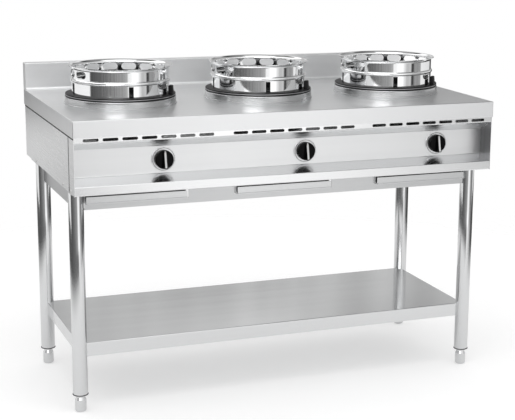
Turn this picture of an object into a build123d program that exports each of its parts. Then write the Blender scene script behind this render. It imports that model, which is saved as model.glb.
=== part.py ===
from build123d import *
import math
import os

# Three-burner wok range on round legs.  Millimetres, +Z up, +X to the right of a
# person who stands in front of it, -Y towards that person.  The origin is on the
# floor, under the middle of the worktop.

# ---------------------------------------------------------------- driving sizes
# overall
width = 1200.0               # worktop, side to side
depth = 640.0                # worktop, front to back
worktop_height = 800.0       # floor to cooking surface
apron_height = 44.0          # folded edge of the worktop
body_height = 194.0          # worktop down to the underside of the cabinet
burner_setback = 292.0       # burner centres behind the front of the worktop
bay_share = 1 / 3            # each bay's share of the width
bay_turns = {"left": 0.0, "centre": -6.0, "right": -11.0}    # how far round each loose ring sits

# sheet metal
top_sheet = 2.0
sheet = 1.5
bend_radius = 2.5            # outside radius of a fold
lid_clearance = 0.5          # cabinet inside the worktop's folded edge
past = 1.0                   # cutters run past what they cut
base_flange = 40.0           # folded edges round the open bottom of the cabinet

# upstand along the back of the worktop
upstand_height = 78.0
upstand_depth = 30.0
cove_radius = 8.0

# front of the cabinet
strip_height = 14.0          # slotted strip between the worktop's edge and the recess
recess_depth = 60.0
head_drop = 26.0             # sloping head, from the strip down to the panel
panel_rise = 37.0            # panel's lower edge above the cabinet's underside
rail_height = 24.0
slot_length = 41.0
slot_height = 8.0
slot_pitch = 51.0
slots_per_bay = 7
back_inset = 32.0            # back panel in from the rear edge of the worktop
side_return = 15.0           # folded side edges of the back panel

# burner openings
top_hole_radius = 128.0
collar_radius = 151.0
collar_height = 20.0
collar_foot = 1.8            # rolled foot bead round the collar
well_radius = 126.5          # skirt of the collar, inside the worktop's hole
well_depth = 85.0            # skirt's lower edge below the worktop
plate_radius = 150.0         # black cast ring on the collar
plate_thickness = 8.0
plate_bore = 112.0
spigot_depth = 9.0
lug_angle = -32.0
lug_height = 32.0
lug_width = 20.0
lug_thickness = 12.0
lug_setback = 1.0            # lug's outer face in from the plate's edge
lug_taper = 2.5
lug_corner = 3.0
plate_groove = 1.5
rib_height = 5.0             # centring rib inside the wok ring
rib_width = 6.0
bore_fall = 2.0              # plate's top falls this much towards its bore
seat_gap = 0.3               # loose parts above what they rest on
loose_fit = 1.5              # radial play of a part that lifts out by hand

# wok ring
ring_radius = 132.0
ring_sheet = 1.5
ring_height = 76.0
ring_bead = 3.5              # bead stands out of the band
bead_low = 31.0
bead_high = 42.0
lip_radius = 140.0
lip_height = 10.0
air_slots = 10
air_slot_first = -4.0        # degrees from +X
air_slot_step = 23.0
air_slot_length = 42.0
air_slot_height = 19.0
air_slot_level = 55.5
notch_length = 42.0
notch_depth = 13.0
notch_angles = (-41.0, 139.0)
slit_width = 13.0
slit_angles = (-92.0, -175.0)

# burner
burner_radius = 72.0
burner_drop = 65.0           # burner's top below the worktop
burner_thickness = 42.0
burner_low_corner = 10.0
burner_top_corner = 4.0
nozzle_circles = ((57.6, 16), (28.8, 8))      # radius of each circle of nozzles, and how many
nozzle_radius = 5.0
nozzle_height = 12.0
mixer_radius = 16.0
mixer_wall = 3.0
mixer_below_well = 3.0       # mixing tube clear of the fire well's lower edge
mouth_flare = 6.0
mouth_length = 20.0
mixer_mouth = 127.0          # mixing tube's open end, in front of the burner's centre
burner_foot = 8.0
burner_foot_root = 12.0      # how far a foot reaches up into the head
pilot_offset = 88.0
pilot_radius = 4.0
pilot_foot = 8.0             # half the side of the pilot's square foot
pilot_foot_height = 4.0
hood_reach = 10.0            # pilot hood towards the burner
hood_half = 5.0
hood_height = 3.0

# gas controls
tap_offset = 52.0            # knobs are to the right of the burner centres
tap_rise = 37.0              # taps above the panel's lower edge
bezel_radius = 33.0
bezel_thickness = 2.0
bezel_edge = 0.8
bezel_groove_inset = 3.0
bezel_groove_width = 1.0
bezel_groove_depth = 0.6
knob_radius = 25.0
knob_skirt = 8.0
knob_face = 2.0              # plastic left in front of the spindle
skirt_corner = 2.0
grip_inset = 2.5             # grip's ends in from the skirt's edge
grip_root = 3.0
grip_corner = 1.5
knob_gap = 5.0               # knob clear of its bezel when not pushed
push_travel = 4.0
grip_width = 11.0
grip_top = 19.0              # grip's upper end, out from the panel
grip_bottom = 29.0           # grip's lower end, out from the panel
spindle_radius = 4.0
rotor_radius = 8.0
rotor_length = 24.0
rotor_setback = 1.0          # rotor behind the tap's front face
rotor_wall = 2.0             # closed end of the rotor's socket
running_gap = 0.05
valve_width = 28.0
valve_height = 34.0
valve_depth = 38.0
valve_corner = 4.0
outlet_radius = 7.0
outlet_drop = 14.0
manifold_radius = 13.5
manifold_wall = 2.5
manifold_bend = 30.0
manifold_overhang = 40.0     # pipe's closed end past the first tap
manifold_cap = 5.0
feed_radius = 5.0
feed_rise = 24.0             # feed tubes above the cabinet's underside
feed_bend = 9.0
feed_setback = 25.0          # riser in front of the mixing tube's mouth
injector_half = 8.0
injector_corner = 2.0
jet_length = 10.0
jet_root = 6.0
jet_tip = 3.0
inlet_radius = 10.5
inlet_wall = 3.0
inlet_length = 22.0
hex_margin = 5.0             # corners of the hexagon, outside the thread
hex_height = 6.0
inlet_inset = 40.0           # gas inlet in from the right end of the worktop
pipe_clearance = 0.5

# under the cabinet
leg_inset = 25.0             # leg centres in from the ends of the worktop
leg_setback = 92.0           # leg centres in from the worktop's front and from the back panel
leg_radius = 20.0
leg_wall = 1.5
plate_sheet = 3.0
corner_inset = 1.0           # corner plates in from the cabinet's sides
corner_inboard = 46.0        # from the leg's centre towards the middle of the range
corner_inward = 52.0
corner_outward = 62.0
corner_radius = 8.0
foot_height = 46.0
foot_radius = 15.5
foot_gap = 2.0               # thread showing between foot and leg
foot_travel = 20.0           # screwed out of the leg by this much at most
foot_heel = 6.0              # rounded edge on the floor
foot_waist = 33.0            # height where the foot starts to narrow
foot_taper = 0.5
foot_neck = 12.0             # radius of the neck under the leg
foot_neck_height = 6.0
stud_radius = 5.0
stud_hold = 14.0             # thread still in the plug when the foot is out
insert_depth = 24.0
beam_setback = 84.0          # beams in from the worktop's front and from the back panel
beam_drop = 54.0             # beams' lower edge below the cabinet
beam_end_gap = 0.5           # beams' ends off the legs
beam_flange = 15.0
side_beam_sheet = 3.0
bearer_width = 40.0
bearer_height = 20.0
crossbar_width = 25.0
crossbar_spread = 45.0       # each bar's centre from the burner's centre
bolt_radius = 3.0
bolt_play = 0.2
bolt_head_radius = 5.8
bolt_head_height = 4.0
nut_height = 5.0
bolt_spread = 42.0           # bolts in front of and behind each leg
bolt_x_offset = 8.0          # bolts outboard of the leg's centre

# drip trays
tray_half_width = 133.0
tray_face_overlap = 4.0
tray_height = 18.5
tray_drop = 36.5             # trays' underside below the cabinet
tray_spread = 15.0           # outer trays this much further out than their burners
tray_rear_gap = 11.0         # tray's rear end in front of the rear beam
tray_face_setback = 74.0
tray_lip = 4.5               # folded lip in front of the tray's face
tray_side_play = 6.0
sill_drop = 1.5
runner_height = 22.0
runner_lip = 12.0

# shelf
shelf_height = 188.0
shelf_edge = 38.0

# fasteners on the sides of the cabinet
screw_radius = 4.0
screw_head = 1.8
screw_play = 0.1
screw_level = 7.0            # above the bottom edge of the side
screw_from_front = (43.0, 139.0, 490.0)

# ------------------------------------------------------------- worked-out places
front = -depth / 2
rear = depth / 2
half = width / 2
bay_pitch = width * bay_share
bays = {"left": -bay_pitch, "centre": 0.0, "right": bay_pitch}    # burner centres across
body_bottom = worktop_height - body_height
inset = top_sheet + lid_clearance              # cabinet's outside, in from the worktop
top_under = worktop_height - top_sheet
strip_bottom = worktop_height - apron_height - strip_height
panel_top = strip_bottom - head_drop
panel_bottom = body_bottom + panel_rise
rail_top = body_bottom + rail_height
tap_height = panel_bottom + tap_rise
well_bottom = worktop_height - well_depth
burner_top = worktop_height - burner_drop
cab_front = front + inset
cab_side = half - inset
panel_face = front + recess_depth
back_face = rear - back_inset
cheek_rear = panel_face + inset
burner_y = front + burner_setback
leg_x = half - leg_inset
leg_front = front + leg_setback
leg_back = back_face - leg_setback
leg_bottom = foot_height + foot_gap
stud_engagement = foot_travel + stud_hold
plate_under = body_bottom - plate_sheet
plate_top = worktop_height + collar_height + seat_gap
ring_foot = plate_top + plate_thickness + seat_gap
bearer_low = body_bottom + sheet
bearer_x = (-leg_x, -bay_pitch / 2, bay_pitch / 2, leg_x)
bearer_top = bearer_low + bearer_height
crossbar_top = bearer_top + plate_sheet
knob_back = panel_face - bezel_thickness - knob_gap
knob_front = knob_back - knob_skirt
valve_front = panel_face + sheet
manifold_end = back_face - sheet - pipe_clearance
outlet_y = valve_front + valve_depth / 2
outlet_port = tap_height - valve_height / 2 - outlet_drop
feed_level = body_bottom + feed_rise
inlet_x = half - inlet_inset
manifold_y = valve_front + valve_depth + manifold_radius
burner_under = burner_top - burner_thickness
mixer_level = well_bottom - mixer_radius - mouth_flare - mixer_below_well
beam_bottom = body_bottom - beam_drop
beam_half_length = leg_x - leg_radius - beam_end_gap
tray_bottom = body_bottom - tray_drop
sill_level = tray_bottom - sill_drop
runner_top = tray_bottom - seat_gap
beam_rear = back_face - beam_setback
tray_rear = beam_rear - tray_rear_gap
trays = {"left": -bay_pitch - tray_spread, "centre": 0.0, "right": bay_pitch + tray_spread}

os.makedirs("parts", exist_ok=True)


# ---------------------------------------------------------------------- helpers
def save(name, shape):
    """Write one node."""
    export_step(shape, "parts/" + name + ".step")


def block(x, y, z):
    """Box from its limits, each given as (low, high)."""
    size = (x[1] - x[0], y[1] - y[0], z[1] - z[0])
    middle = ((x[0] + x[1]) / 2, (y[0] + y[1]) / 2, (z[0] + z[1]) / 2)
    return Pos(*middle) * Box(*size)


def rod(x, y, low, high, radius):
    """Upright cylinder."""
    return Pos(x, y, (low + high) / 2) * Cylinder(radius, high - low)


def rod_y(x, z, near, far, radius):
    """Cylinder along Y."""
    return Pos(x, (near + far) / 2, z) * Rot(90, 0, 0) * Cylinder(radius, far - near)


def folded(points, thickness, x_low, x_high, side=Side.LEFT):
    """Sheet folded along X: an open outline of (y, z) points, given thickness to one side."""
    line = FilletPolyline(*points, radius=bend_radius)
    face = make_face(offset(line, thickness, side=side))
    upright = Plane(origin=(x_low, 0, 0), x_dir=(0, 1, 0), z_dir=(1, 0, 0))
    return extrude(upright * face, x_high - x_low)


def turned(points):
    """Solid of revolution about Z from a closed outline of (radius, height) points."""
    return revolve(make_face(Plane.XZ * Polyline(*points, close=True)), Axis.Z)


def turned_sheet(line, thickness):
    """Thin solid of revolution about Z: an open outline thickened to both sides."""
    face = make_face(offset(line, thickness / 2, side=Side.BOTH))
    return revolve(Plane.XZ * face, Axis.Z)


def slot_row(centre_x, y, z, through):
    """Cutter for one bay's row of round-ended slots in an upright sheet."""
    cutters = []
    for number in range(slots_per_bay):
        x = centre_x + (number - (slots_per_bay - 1) / 2) * slot_pitch
        outline = Plane(origin=(x, y, z), x_dir=(1, 0, 0), z_dir=(0, -1, 0)) * SlotOverall(
            slot_length, slot_height)
        cutters.append(extrude(outline, through, both=True))
    return cutters


def pipe(points, radius, bend):
    """Round bar along straight runs with bends."""
    path = FilletPolyline(*points, radius=bend)
    start = Plane(origin=path @ 0, z_dir=path % 0)
    return sweep(start * Circle(radius), path=path)


def group(pieces):
    """Several separate solids kept in one node."""
    return Compound(children=pieces)


# ---------------------------------------------------------------------- worktop
def make_worktop():
    """Lid-shaped top with three round openings."""
    lid = block((-half, half), (front, rear), (worktop_height - apron_height, worktop_height))
    lid = fillet(lid.edges().filter_by(Axis.Z), bend_radius)
    lid = fillet(lid.faces().sort_by(Axis.Z)[-1].edges(), bend_radius)
    hollow = block((-half + top_sheet, half - top_sheet), (front + top_sheet, rear - top_sheet),
                   (worktop_height - apron_height - past, top_under))
    lid -= hollow
    for x in bays.values():
        lid -= rod(x, burner_y, top_under - past, worktop_height + past, top_hole_radius)
    return lid


def make_backsplash():
    """Hollow upstand with a coved foot, along the back of the worktop."""
    face = rear - upstand_depth
    top = worktop_height + upstand_height
    outer = block((-half, half), (face, rear), (worktop_height, top))
    outer = fillet(outer.edges().filter_by(Axis.X).group_by(Axis.Z)[-1], bend_radius)
    outer = fillet(outer.edges().filter_by(Axis.Z), bend_radius / 2)
    outer -= block((-half + sheet, half - sheet), (face + sheet, rear - sheet),
                   (worktop_height - past, top - sheet))
    cove = block((-half + bend_radius, half - bend_radius), (face - cove_radius, face),
                 (worktop_height, worktop_height + cove_radius))
    cove -= Pos(0, face - cove_radius, worktop_height + cove_radius) * Rot(0, 90, 0) * Cylinder(
        cove_radius, width)
    return outer + cove


# ---------------------------------------------------------------------- cabinet
def make_side(sign):
    """Side panel with its bottom edge folded in, and holes for screws and leg bolts."""
    near = cheek_rear + lid_clearance
    far = rear - inset
    panel = block((cab_side - sheet, cab_side), (near, far), (body_bottom, top_under))
    panel += block((cab_side - base_flange, cab_side),
                   (near, back_face - base_flange - lid_clearance),
                   (body_bottom, body_bottom + sheet))
    panel = mirrored(panel, sign)
    for cutter in bolt_holes(sign):
        panel -= cutter
    for y in side_screw_places():
        if y > near:
            panel -= screw_hole(sign, y)
    return panel


def make_cheek(sign):
    """Closing plate at one end of the recessed front."""
    plate = block((cab_side - sheet, cab_side), (cab_front, cheek_rear), (body_bottom, top_under))
    plate = mirrored(plate, sign)
    for y in side_screw_places():
        if y < cheek_rear:
            plate -= screw_hole(sign, y)
    return plate


def mirrored(shape, sign):
    """The shape as built on the right, or its mirror image on the left."""
    return shape if sign > 0 else mirror(shape, Plane.YZ)


def side_screw_places():
    """Distances of the side screws, as Y."""
    return [front + distance for distance in screw_from_front]


def screw_hole(sign, y):
    """Cutter for one side screw."""
    middle = sign * (cab_side - sheet / 2)
    return Pos(middle, y, body_bottom + screw_level) * Rot(0, 90, 0) * Cylinder(
        screw_radius / 2 + screw_play, 4 * sheet)


def bolt_places():
    """Two bolts beside each leg, through the cabinet's bottom edges."""
    return [
        (sign * (leg_x + bolt_x_offset), leg_y + step * bolt_spread)
        for sign in (-1, 1) for leg_y in (leg_front, leg_back) for step in (-1, 1)]


def bolt_holes(*signs):
    """Cutters for the leg bolts on the left (-1), the right (1) or both sides."""
    return [
        rod(x, y, plate_under - past, bearer_low + past, bolt_radius + bolt_play)
        for x, y in bolt_places() if math.copysign(1, x) in signs]


def make_fascia():
    """One folded sheet: slotted strip, sloping head, control panel, sloping foot and rail."""
    outline = [
        (cab_front, top_under),
        (cab_front, strip_bottom),
        (panel_face, panel_top),
        (panel_face, panel_bottom),
        (cab_front, rail_top),
        (cab_front, body_bottom),
        (cheek_rear, body_bottom),
    ]
    reach = cab_side - sheet
    fascia = folded(outline, sheet, -reach, reach)
    level = (worktop_height - apron_height + strip_bottom) / 2
    for x in bays.values():
        for cutter in slot_row(x, cab_front, level, 2 * sheet):
            fascia -= cutter
        fascia -= rod_y(x + tap_offset, tap_height, panel_face - past, valve_front + past,
                        rotor_radius + lid_clearance)
    for cutter in bolt_holes(-1, 1):
        fascia -= cutter
    return fascia


def make_back_panel():
    """Back panel, folded back at its sides and in at its bottom, with vents and the gas hole."""
    reach = cab_side - sheet
    outline = [(back_face, top_under), (back_face, body_bottom),
               (back_face - base_flange, body_bottom)]
    panel = folded(outline, sheet, -reach, reach, side=Side.RIGHT)
    for sign in (-1, 1):
        edge = sorted((sign * reach, sign * (reach - sheet)))
        panel += block(edge, (back_face - sheet, back_face + side_return),
                       (body_bottom + base_flange, top_under - base_flange))
    for x in bays.values():
        for cutter in slot_row(x, back_face, worktop_height - apron_height, 3 * sheet):
            panel -= cutter
    panel -= rod_y(inlet_x, tap_height, back_face - sheet - past, back_face + past,
                   inlet_radius + pipe_clearance)
    for cutter in bolt_holes(-1, 1):
        panel -= cutter
    return panel


def make_bearers():
    """Four inverted channels from front to back, on the cabinet's bottom edges."""
    near = cab_front + bend_radius + lid_clearance
    far = back_face - bend_radius - lid_clearance
    channels = []
    for x in bearer_x:
        channel = block((x - bearer_width / 2, x + bearer_width / 2), (near, far),
                        (bearer_low, bearer_top))
        channel -= block((x - bearer_width / 2 + top_sheet, x + bearer_width / 2 - top_sheet),
                         (near - past, far + past), (bearer_low - past, bearer_top - top_sheet))
        channels.append(channel)
    return group(channels)


def make_crossbars():
    """Two flat bars across the bearers, which carry the burners."""
    reach = abs(bearer_x[0]) + bearer_width / 2
    return group([
        block((-reach, reach), (y - crossbar_width / 2, y + crossbar_width / 2),
              (bearer_top, crossbar_top))
        for y in (burner_y - crossbar_spread, burner_y + crossbar_spread)])


# ---------------------------------------------------------------- cooking places
def make_collar(x):
    """Round collar on the worktop, with a skirt down through the opening as the fire well."""
    top = worktop_height + collar_height
    outer = collar_radius - top_sheet / 2
    inner = well_radius - top_sheet / 2
    line = FilletPolyline((outer, worktop_height), (outer, top - top_sheet / 2),
                          (inner, top - top_sheet / 2), (inner, well_bottom), radius=bend_radius)
    face = make_face(offset(line, top_sheet / 2, side=Side.BOTH))
    below = Pos(outer, worktop_height - collar_height / 2) * Rectangle(4 * top_sheet, collar_height)
    shell = revolve(Plane.XZ * (face - below), Axis.Z)
    bead = turned([(collar_radius - top_sheet / 2, worktop_height),
                   (collar_radius + collar_foot, worktop_height),
                   (collar_radius + collar_foot, worktop_height + collar_foot),
                   (collar_radius, worktop_height + 2 * collar_foot),
                   (collar_radius - top_sheet / 2, worktop_height + 2 * collar_foot)])
    return Pos(x, burner_y, 0) * (shell + bead)


def make_burner_plate(x, turn):
    """Black cast ring on the collar: grooved rim, centring spigot, ring rib and a locating lug."""
    low = plate_top
    high = plate_top + plate_thickness
    spigot = well_radius - top_sheet - loose_fit
    rib = ring_radius - ring_sheet - loose_fit
    third = plate_thickness / 3
    ring = turned([
        (plate_bore, low - spigot_depth), (spigot, low - spigot_depth), (spigot, low),
        (plate_radius, low), (plate_radius, low + third),
        (plate_radius - plate_groove, low + third), (plate_radius - plate_groove, low + 2 * third),
        (plate_radius, low + 2 * third), (plate_radius - plate_groove / 2, high),
        (rib, high), (rib, high + rib_height), (rib - rib_width, high + rib_height),
        (plate_bore, high - bore_fall)])
    outer = plate_radius - lug_setback
    inner = outer - lug_thickness
    lug_outline = Polyline((inner, low + third), (outer, low + third),
                           (outer - lug_taper, low + lug_height), (inner, low + lug_height),
                           close=True)
    lug = extrude(Plane.XZ * make_face(lug_outline), lug_width / 2, both=True)
    lug = fillet(lug.edges().filter_by(Axis.X).group_by(Axis.Z)[-1], lug_corner)
    return Pos(x, burner_y, 0) * (ring + Rot(0, 0, lug_angle + turn) * lug)


def make_wok_ring(x, turn):
    """Lift-off ring that holds the wok: flared lip, bead, air slots round the back and sides."""
    middle = ring_radius - ring_sheet / 2
    bead_mid = (bead_low + bead_high) / 2
    neck = ring_height - lip_height
    band = Polyline((middle, 0), (middle, bead_low))
    bulge = ThreePointArc((middle, bead_low), (middle + ring_bead, bead_mid), (middle, bead_high))
    upper = Polyline((middle, bead_high), (middle, neck))
    flare = TangentArc((middle, neck), (lip_radius - ring_sheet / 2, ring_height - ring_sheet / 2),
                       tangent=(0, 1))
    ring = turned_sheet(Wire(band.edges() + [bulge.edge()] + upper.edges() + [flare.edge()]),
                        ring_sheet)
    outside = ring_radius + ring_bead + past
    ring -= rod(0, 0, -ring_sheet, 0, outside)
    radial = Plane(origin=(0, 0, air_slot_level), x_dir=(0, 1, 0), z_dir=(1, 0, 0))
    for number in range(air_slots):
        angle = Rot(0, 0, air_slot_first + number * air_slot_step)
        ring -= angle * extrude(radial * SlotOverall(air_slot_length, air_slot_height), outside)
    notch_top = bead_low - ring_sheet
    notch = Plane(origin=(0, 0, notch_top), x_dir=(0, 1, 0), z_dir=(1, 0, 0)) * SlotOverall(
        notch_length, 2 * notch_depth)
    notch = extrude(notch, outside)
    notch -= block((0, 2 * ring_radius), (-notch_length, notch_length),
                   (notch_top, notch_top + 2 * notch_depth))
    for angle in notch_angles:
        ring -= Rot(0, 0, angle) * notch
    slit = block((0, outside), (-slit_width / 2, slit_width / 2), (-past, notch_top))
    for angle in slit_angles:
        ring -= Rot(0, 0, angle) * slit
    return Pos(x, burner_y, ring_foot) * Rot(0, 0, turn) * ring


# ------------------------------------------------------------------ gas and fire
def make_burner(x):
    """Cast burner: round head with a ring of nozzles, mixing tube to the front, four feet."""
    head = rod(0, 0, burner_under, burner_top, burner_radius)
    head = fillet(head.edges().group_by(Axis.Z)[0], burner_low_corner)
    head = fillet(head.edges().group_by(Axis.Z)[-1], burner_top_corner)
    nozzle_top = burner_top + nozzle_height
    for circle, count in nozzle_circles:
        for number in range(count):
            angle = 2 * math.pi * number / count
            across = circle * math.cos(angle)
            along = circle * math.sin(angle)
            head += rod(across, along, burner_top - past, nozzle_top, nozzle_radius)
            head -= rod(across, along, burner_top, nozzle_top + past, nozzle_radius / 2)
    tube = rod_y(0, mixer_level, -mixer_mouth, -burner_radius / 2, mixer_radius)
    mouth = Pos(0, -mixer_mouth + mouth_length / 2, mixer_level) * Rot(90, 0, 0) * Cone(
        mixer_radius, mixer_radius + mouth_flare, mouth_length)
    head += tube + mouth
    head -= rod_y(0, mixer_level, -mixer_mouth - past, -burner_radius / 2,
                  mixer_radius - mixer_wall)
    for sign_x in (-1, 1):
        for sign_y in (-1, 1):
            head += rod(sign_x * crossbar_spread, sign_y * crossbar_spread, crossbar_top,
                        burner_under + burner_foot_root, burner_foot)
    return Pos(x, burner_y, 0) * head


def make_pilot(x):
    """Pilot burner: upright tube with a hood, on the front crossbar."""
    foot = block((-pilot_foot, pilot_foot),
                 (-crossbar_spread - pilot_foot, -crossbar_spread + pilot_foot),
                 (crossbar_top, crossbar_top + pilot_foot_height))
    tube = rod(0, -crossbar_spread, crossbar_top, burner_top, pilot_radius)
    hood = block((-hood_reach, hood_half),
                 (-crossbar_spread - hood_half, -crossbar_spread + hood_half),
                 (burner_top, burner_top + hood_height))
    return Pos(x + pilot_offset, burner_y, 0) * (foot + tube + hood)


def make_valve(x):
    """Gas tap body behind the panel, bored for its rotor, with an outlet port below."""
    centre = x + tap_offset
    body = block((centre - valve_width / 2, centre + valve_width / 2),
                 (valve_front, valve_front + valve_depth),
                 (tap_height - valve_height / 2, tap_height + valve_height / 2))
    body = fillet(body.edges().filter_by(Axis.Y), valve_corner)
    body += rod(centre, outlet_y, outlet_port, tap_height, outlet_radius)
    body -= rod_y(centre, tap_height, valve_front - past,
                  valve_front + 2 * rotor_setback + rotor_length, rotor_radius + running_gap)
    return body


def make_rotor(x):
    """Turning plug inside the tap."""
    near = valve_front + rotor_setback
    rotor = rod_y(x + tap_offset, tap_height, near, near + rotor_length, rotor_radius)
    rotor -= rod_y(x + tap_offset, tap_height, near - past, near + rotor_length - rotor_wall,
                   spindle_radius + running_gap)
    return rotor


def make_spindle(x):
    """Spindle from the knob into the plug, with room to be pushed in."""
    near = knob_front + knob_face
    far = valve_front + rotor_length - rotor_wall - push_travel
    return rod_y(x + tap_offset, tap_height, near, far, spindle_radius)


def make_knob(x):
    """Round skirt with a raised grip bar whose front slopes out towards the bottom."""
    centre = x + tap_offset
    skirt = rod_y(centre, tap_height, knob_front, knob_back, knob_radius)
    skirt = fillet(skirt.faces().sort_by(Axis.Y)[0].edges(), skirt_corner)
    half_grip = knob_radius - grip_inset
    root = knob_back - grip_root
    side_view = Polyline((root, half_grip), (panel_face - grip_top, half_grip),
                         (panel_face - grip_bottom, -half_grip), (root, -half_grip), close=True)
    upright = Plane(origin=(centre, 0, tap_height), x_dir=(0, 1, 0), z_dir=(1, 0, 0))
    grip = extrude(upright * make_face(side_view), grip_width / 2, both=True)
    slope = grip.faces().sort_by(Axis.Y)[0]
    grip = fillet(slope.edges(), grip_corner)
    knob = skirt + grip
    knob -= rod_y(centre, tap_height, knob_front + knob_face, knob_back + past,
                  spindle_radius + running_gap)
    return knob


def make_bezel(x):
    """Dial disc on the panel, with a groove near its rim."""
    centre = x + tap_offset
    disc = rod_y(centre, tap_height, panel_face - bezel_thickness, panel_face, bezel_radius)
    disc = fillet(disc.faces().sort_by(Axis.Y)[0].edges(), bezel_edge)
    surface = panel_face - bezel_thickness
    groove_radius = bezel_radius - bezel_groove_inset
    ring = rod_y(centre, tap_height, surface - past, surface + bezel_groove_depth, groove_radius)
    ring -= rod_y(centre, tap_height, surface - past, surface + bezel_groove_depth,
                  groove_radius - bezel_groove_width)
    disc -= ring
    disc -= rod_y(centre, tap_height, surface - past, panel_face + past,
                  spindle_radius + lid_clearance)
    return disc


def make_manifold():
    """Gas pipe behind the taps, then along the right side to the inlet."""
    left_end = min(bays.values()) + tap_offset - manifold_overhang
    corner = (inlet_x, manifold_y, tap_height)
    bar = pipe([(left_end, manifold_y, tap_height), corner, (inlet_x, manifold_end, tap_height)],
               manifold_radius, manifold_bend)
    bar -= pipe([(left_end + manifold_cap, manifold_y, tap_height), corner,
                 (inlet_x, manifold_end + past, tap_height)],
                manifold_radius - manifold_wall, manifold_bend)
    return bar


def make_inlet():
    """Threaded gas inlet through the back panel, with a hexagon behind it."""
    tip = back_face + hex_height + inlet_length
    nipple = rod_y(inlet_x, tap_height, manifold_end, tip, inlet_radius)
    wrench = Plane(origin=(inlet_x, back_face, tap_height), x_dir=(1, 0, 0), z_dir=(0, -1, 0))
    nipple += extrude(wrench * RegularPolygon(inlet_radius + hex_margin, 6), -hex_height)
    nipple -= rod_y(inlet_x, tap_height, manifold_end - past, tip + past,
                    inlet_radius - inlet_wall)
    return nipple


def make_feed(x):
    """Tube from a tap's outlet under the manifold and up to the injector at the mixing tube."""
    centre = x + tap_offset
    riser_y = burner_y - mixer_mouth - feed_setback
    tube = pipe([(centre, outlet_y, outlet_port), (centre, outlet_y, feed_level),
                 (x, riser_y, feed_level), (x, riser_y, mixer_level)], feed_radius, feed_bend)
    injector = block((x - injector_half, x + injector_half),
                     (riser_y - injector_half, riser_y + injector_half),
                     (mixer_level - injector_half, mixer_level + injector_half))
    injector = fillet(injector.edges().filter_by(Axis.Y), injector_corner)
    jet = Pos(x, riser_y + injector_half + jet_length / 2, mixer_level) * Rot(-90, 0, 0) * Cone(
        jet_root, jet_tip, jet_length)
    return tube + injector + jet


# ------------------------------------------------------------- legs, frame, shelf
def leg_places():
    """Leg names with their centres."""
    return {
        "front_left": (-leg_x, leg_front), "front_right": (leg_x, leg_front),
        "back_left": (-leg_x, leg_back), "back_right": (leg_x, leg_back)}


def make_leg(x, y):
    """Round tube."""
    return rod(x, y, leg_bottom, plate_under, leg_radius) - rod(
        x, y, leg_bottom - past, plate_under + past, leg_radius - leg_wall)


def make_insert(x, y):
    """Threaded plug in the bottom of a leg."""
    plug = rod(x, y, leg_bottom, leg_bottom + insert_depth, leg_radius - leg_wall)
    return plug - rod(x, y, leg_bottom - past, leg_bottom + insert_depth + past,
                      stud_radius + 2 * running_gap)


def make_foot(x, y):
    """Bullet foot with its threaded stud."""
    stud_top = foot_height + stud_engagement
    floor = Polyline((0, 0), (foot_radius - foot_heel, 0))
    heel = TangentArc((foot_radius - foot_heel, 0), (foot_radius, foot_heel), tangent=(1, 0))
    side = Polyline((foot_radius, foot_heel), (foot_radius - foot_taper, foot_waist),
                    (foot_neck, foot_height - foot_neck_height), (foot_neck, foot_height),
                    (stud_radius, foot_height), (stud_radius, stud_top), (0, stud_top), (0, 0))
    face = make_face(Wire(floor.edges() + [heel.edge()] + side.edges()))
    return Pos(x, y, 0) * revolve(Plane.XZ * face, Axis.Z)


def make_corner_plate(sign, leg_y, outward):
    """Plate between a leg and the cabinet's bottom edges; outward is -1 at the front, 1 at the back."""
    ends = sorted((leg_y - outward * corner_inward, leg_y + outward * corner_outward))
    plate = block((leg_x - corner_inboard, cab_side - corner_inset), ends, (plate_under, body_bottom))
    plate = fillet(plate.edges().filter_by(Axis.Z), corner_radius)
    plate = mirrored(plate, sign)
    for cutter in bolt_holes(-1, 1):
        plate -= cutter
    return plate


def make_leg_bolts():
    """Hexagon bolts with nuts that clamp the corner plates to the cabinet."""
    bolts = []
    hexagon = RegularPolygon(bolt_head_radius, 6)
    for x, y in bolt_places():
        shank = rod(x, y, plate_under, bearer_low + nut_height, bolt_radius)
        head = extrude(Pos(x, y, plate_under - bolt_head_height) * hexagon, bolt_head_height)
        nut = extrude(Pos(x, y, bearer_low) * hexagon, nut_height)
        bolts.append(shank + head + nut)
    return group(bolts)


def make_front_beam():
    """Front beam with an opening for each tray, tongues up to the bearers, bottom edge folded."""
    near = front + beam_setback
    beam = block((-beam_half_length, beam_half_length), (near, near + top_sheet),
                 (beam_bottom, plate_under))
    beam += block((-beam_half_length, beam_half_length), (near, near + beam_flange),
                  (beam_bottom, beam_bottom + top_sheet))
    tongue = bearer_width / 2
    for x in bearer_x[1:3]:
        beam += block((x - tongue, x + tongue), (near, near + top_sheet),
                      (plate_under - past, bearer_low))
    opening = tray_half_width + tray_face_overlap + tray_side_play
    for x in trays.values():
        beam -= block((x - opening, x + opening), (near - past, near + top_sheet + past),
                      (sill_level, plate_under + past))
    return beam


def make_rear_beam():
    """Rear beam, folded forward at the bottom."""
    beam = block((-beam_half_length, beam_half_length), (beam_rear, beam_rear + top_sheet),
                 (beam_bottom, plate_under))
    beam += block((-beam_half_length, beam_half_length),
                  (beam_rear + top_sheet - beam_flange, beam_rear + top_sheet),
                  (beam_bottom, beam_bottom + top_sheet))
    tongue = bearer_width / 2
    for x in bearer_x[1:3]:
        beam += block((x - tongue, x + tongue), (beam_rear, beam_rear + top_sheet),
                      (plate_under - past, bearer_low))
    return beam


def make_side_beams():
    """Flat bars between the front and back legs."""
    bars = []
    for x in (-leg_x, leg_x):
        bars.append(block((x - side_beam_sheet / 2, x + side_beam_sheet / 2),
                          (leg_front + leg_radius, leg_back - leg_radius),
                          (beam_bottom, plate_under)))
    return group(bars)


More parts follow.
